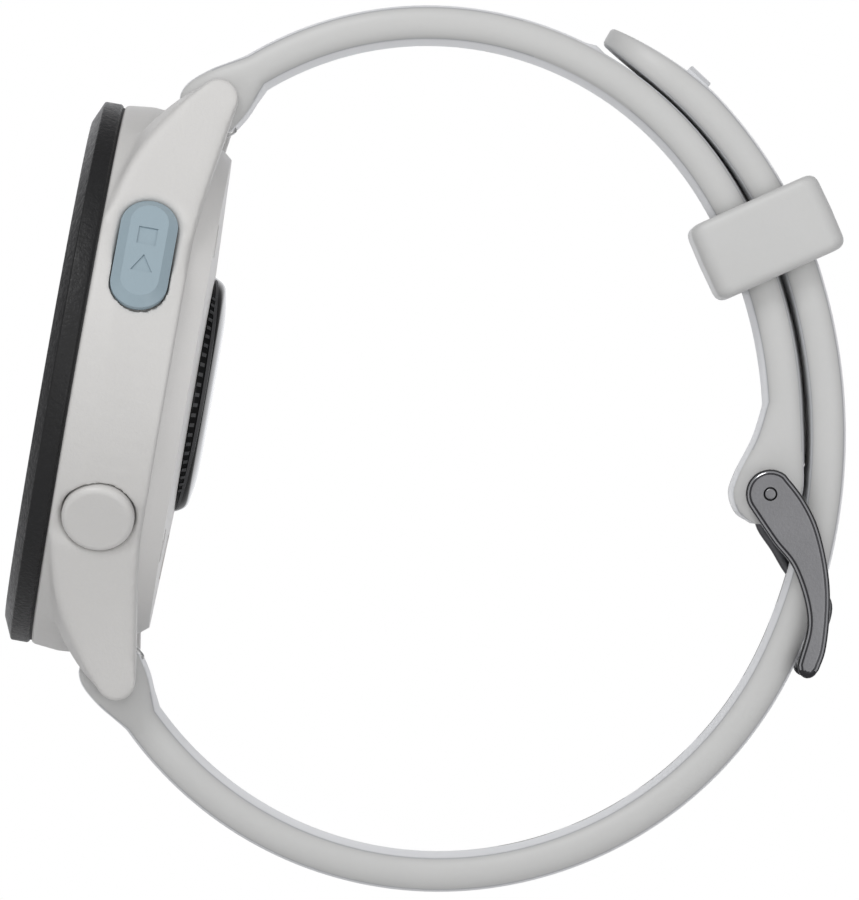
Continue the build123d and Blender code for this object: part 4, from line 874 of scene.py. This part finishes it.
# ---------------------------------------------------------------- moulded case
def softened(name, node_name, voxel, body, slot, weight, passes, sharp=50.0):
    """A moulded copy of a CAD node: an even mesh, eased by each named pass as far as weight says."""
    source = NODES[node_name]
    made = bpy.data.objects.new(name, source.data.copy())
    bpy.context.scene.collection.objects.link(made)
    even = made.modifiers.new("even", "REMESH")
    even.mode, even.voxel_size = "VOXEL", voxel * MM
    bake(made, sharp)
    for label, count in passes:
        spread = made.vertex_groups.new(name=label)
        for vertex in made.data.vertices:
            share = weight(label, vertex.co / MM)
            if share > 0.01:
                spread.add([vertex.index], share, "REPLACE")
        smooth = made.modifiers.new(label, "SMOOTH")
        smooth.factor, smooth.iterations, smooth.vertex_group = 0.5, count, label
    bake(made, sharp)
    made.data.materials.clear()
    made.data.materials.append(LOOKS[slot])
    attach(made, body)
    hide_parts(node_name)
    return made


def rise(value, low, high):
    """A smooth step from 0 at low to 1 at high."""
    share = min(max((value - low) / (high - low), 0.0), 1.0)
    return share * share * (3 - 2 * share)


def case_weight(label, p):
    """How far a point of the case is smoothed, on its edges or on the outsides of its lugs."""
    depth, reach, high = p.y - FACE_Y, hypot(p.x, p.z), abs(p.z)
    if label == "edges":
        key_side = (1 - rise(high, 16.4, 16.6)) * rise(abs(p.x), 16.0, 17.0)
        return 0.9 - 0.65 * key_side * rise(depth, 3.0, 3.6) * (1 - rise(depth, 8.6, 9.2))
    outside = rise(reach, 20.4, 20.9) * rise(depth, 2.5, 3.0)
    return outside * rise(high, 8.6, 10.5) * (1 - 0.85 * rise(high, 21.0, 23.0)) * rise(abs(p.x), 9.0, 9.8)


softened("case_shell", "case", 0.16, "watch", "case_polymer", case_weight, (("edges", 5), ("lugs", 90)))

# ---------------------------------------------------------------- edge easing on the CAD parts that stay
for name, width, angle in (("back_cover", 0.12, 25), ("start_button", 0.12, 20), ("back_button", 0.1, 25),
                           ("light_button", 0.1, 25), ("up_button", 0.1, 25), ("down_button", 0.1, 25),
                           ("upper_bar_lever", 0.08, 30), ("lower_bar_lever", 0.08, 30)):
    ease = NODES[name].modifiers.new("eased_edges", "BEVEL")
    ease.width = width * MM
    ease.segments = 3
    ease.limit_method = "ANGLE"
    ease.angle_limit = radians(angle)
    ease.harden_normals = False

# ---------------------------------------------------------------- camera, floor and light
VIEW_CENTRE = at(30.64, -1.09) * MM
DISTANCE = 1.75
ROLL = radians(10.0)
FRAME_WIDTH = 67.64 * MM
camera_data = bpy.data.cameras.new("camera")
camera_data.sensor_fit = "HORIZONTAL"
camera_data.sensor_width = 36.0
camera_data.lens = 36.0 * DISTANCE / FRAME_WIDTH
camera_data.clip_start, camera_data.clip_end = 0.05, 10.0
camera = bpy.data.objects.new("camera", camera_data)
bpy.context.scene.collection.objects.link(camera)
right = Vector((0, cos(ROLL), sin(ROLL)))
up = Vector((0, -sin(ROLL), cos(ROLL)))
back = Vector((1, 0, 0))
turn = Matrix((right, up, back)).transposed().to_4x4()
camera.matrix_world = Matrix.Translation(VIEW_CENTRE + back * DISTANCE) @ turn
bpy.context.scene.camera = camera

floor_mesh = bpy.data.meshes.new("floor")
FLOOR_R, FLOOR_Z, FLOOR_SIDES = 0.26, -0.053, 96
rim = [(FLOOR_R * cos(2 * pi * k / FLOOR_SIDES), FLOOR_R * sin(2 * pi * k / FLOOR_SIDES), FLOOR_Z)
       for k in range(FLOOR_SIDES)]
floor_mesh.from_pydata(rim, [], [tuple(range(FLOOR_SIDES))])
floor = bpy.data.objects.new("floor", floor_mesh)
bpy.context.scene.collection.objects.link(floor)
floor_mesh.materials.append(finish("floor_paint", GRAIN, (0.88, 0.88, 0.88), 0.05, Roughness=0.8, Cloud=0.02))

world = bpy.data.worlds.new("studio")
bpy.context.scene.world = world
world.use_nodes = True
tree = world.node_tree
ground = tree.nodes["Background"]
way = node(tree, "TexCoord").outputs["Generated"]
parts = node(tree, "SeparateXYZ", {0: way})
ramp = node(tree, "ValToRGB", {0: maths(tree, "ADD", maths(tree, "MULTIPLY", parts.outputs["X"], 0.5), 0.5)})
stops = ramp.color_ramp.elements
stops[0].position, stops[0].color = 0.0, (1.35, 1.36, 1.4, 1)
stops[1].position, stops[1].color = 1.0, (1.0, 1.0, 1.0, 1)
for spot, level in ((0.045, 1.3), (0.1, 0.34), (0.35, 0.28), (0.6, 0.5), (0.8, 0.8)):
    stop = stops.new(spot)
    stop.color = (level, level, level * 1.02, 1)
sees = node(tree, "LightPath").outputs["Is Camera Ray"]
pick = node(tree, "MixRGB", {0: sees, 1: ramp.outputs[0], 2: (1, 1, 1, 1)})
tree.links.new(pick.outputs[0], ground.inputs["Color"])
ground.inputs["Strength"].default_value = 1.0


def soft_light(name, place, look_at, size, power):
    """A round soft lamp that faces a point."""
    lamp = bpy.data.lights.new(name, "AREA")
    lamp.shape, lamp.size, lamp.energy = "DISK", size, power
    made = bpy.data.objects.new(name, lamp)
    bpy.context.scene.collection.objects.link(made)
    made.location = place
    made.rotation_euler = (Vector(look_at) - Vector(place)).to_track_quat("-Z", "Y").to_euler()


soft_light("key", (0.55, -0.35, 0.55), VIEW_CENTRE, 0.35, 2.2)
soft_light("fill", (0.7, 0.4, -0.1), VIEW_CENTRE, 0.5, 1.0)
bpy.context.scene.view_settings.view_transform = "Standard"
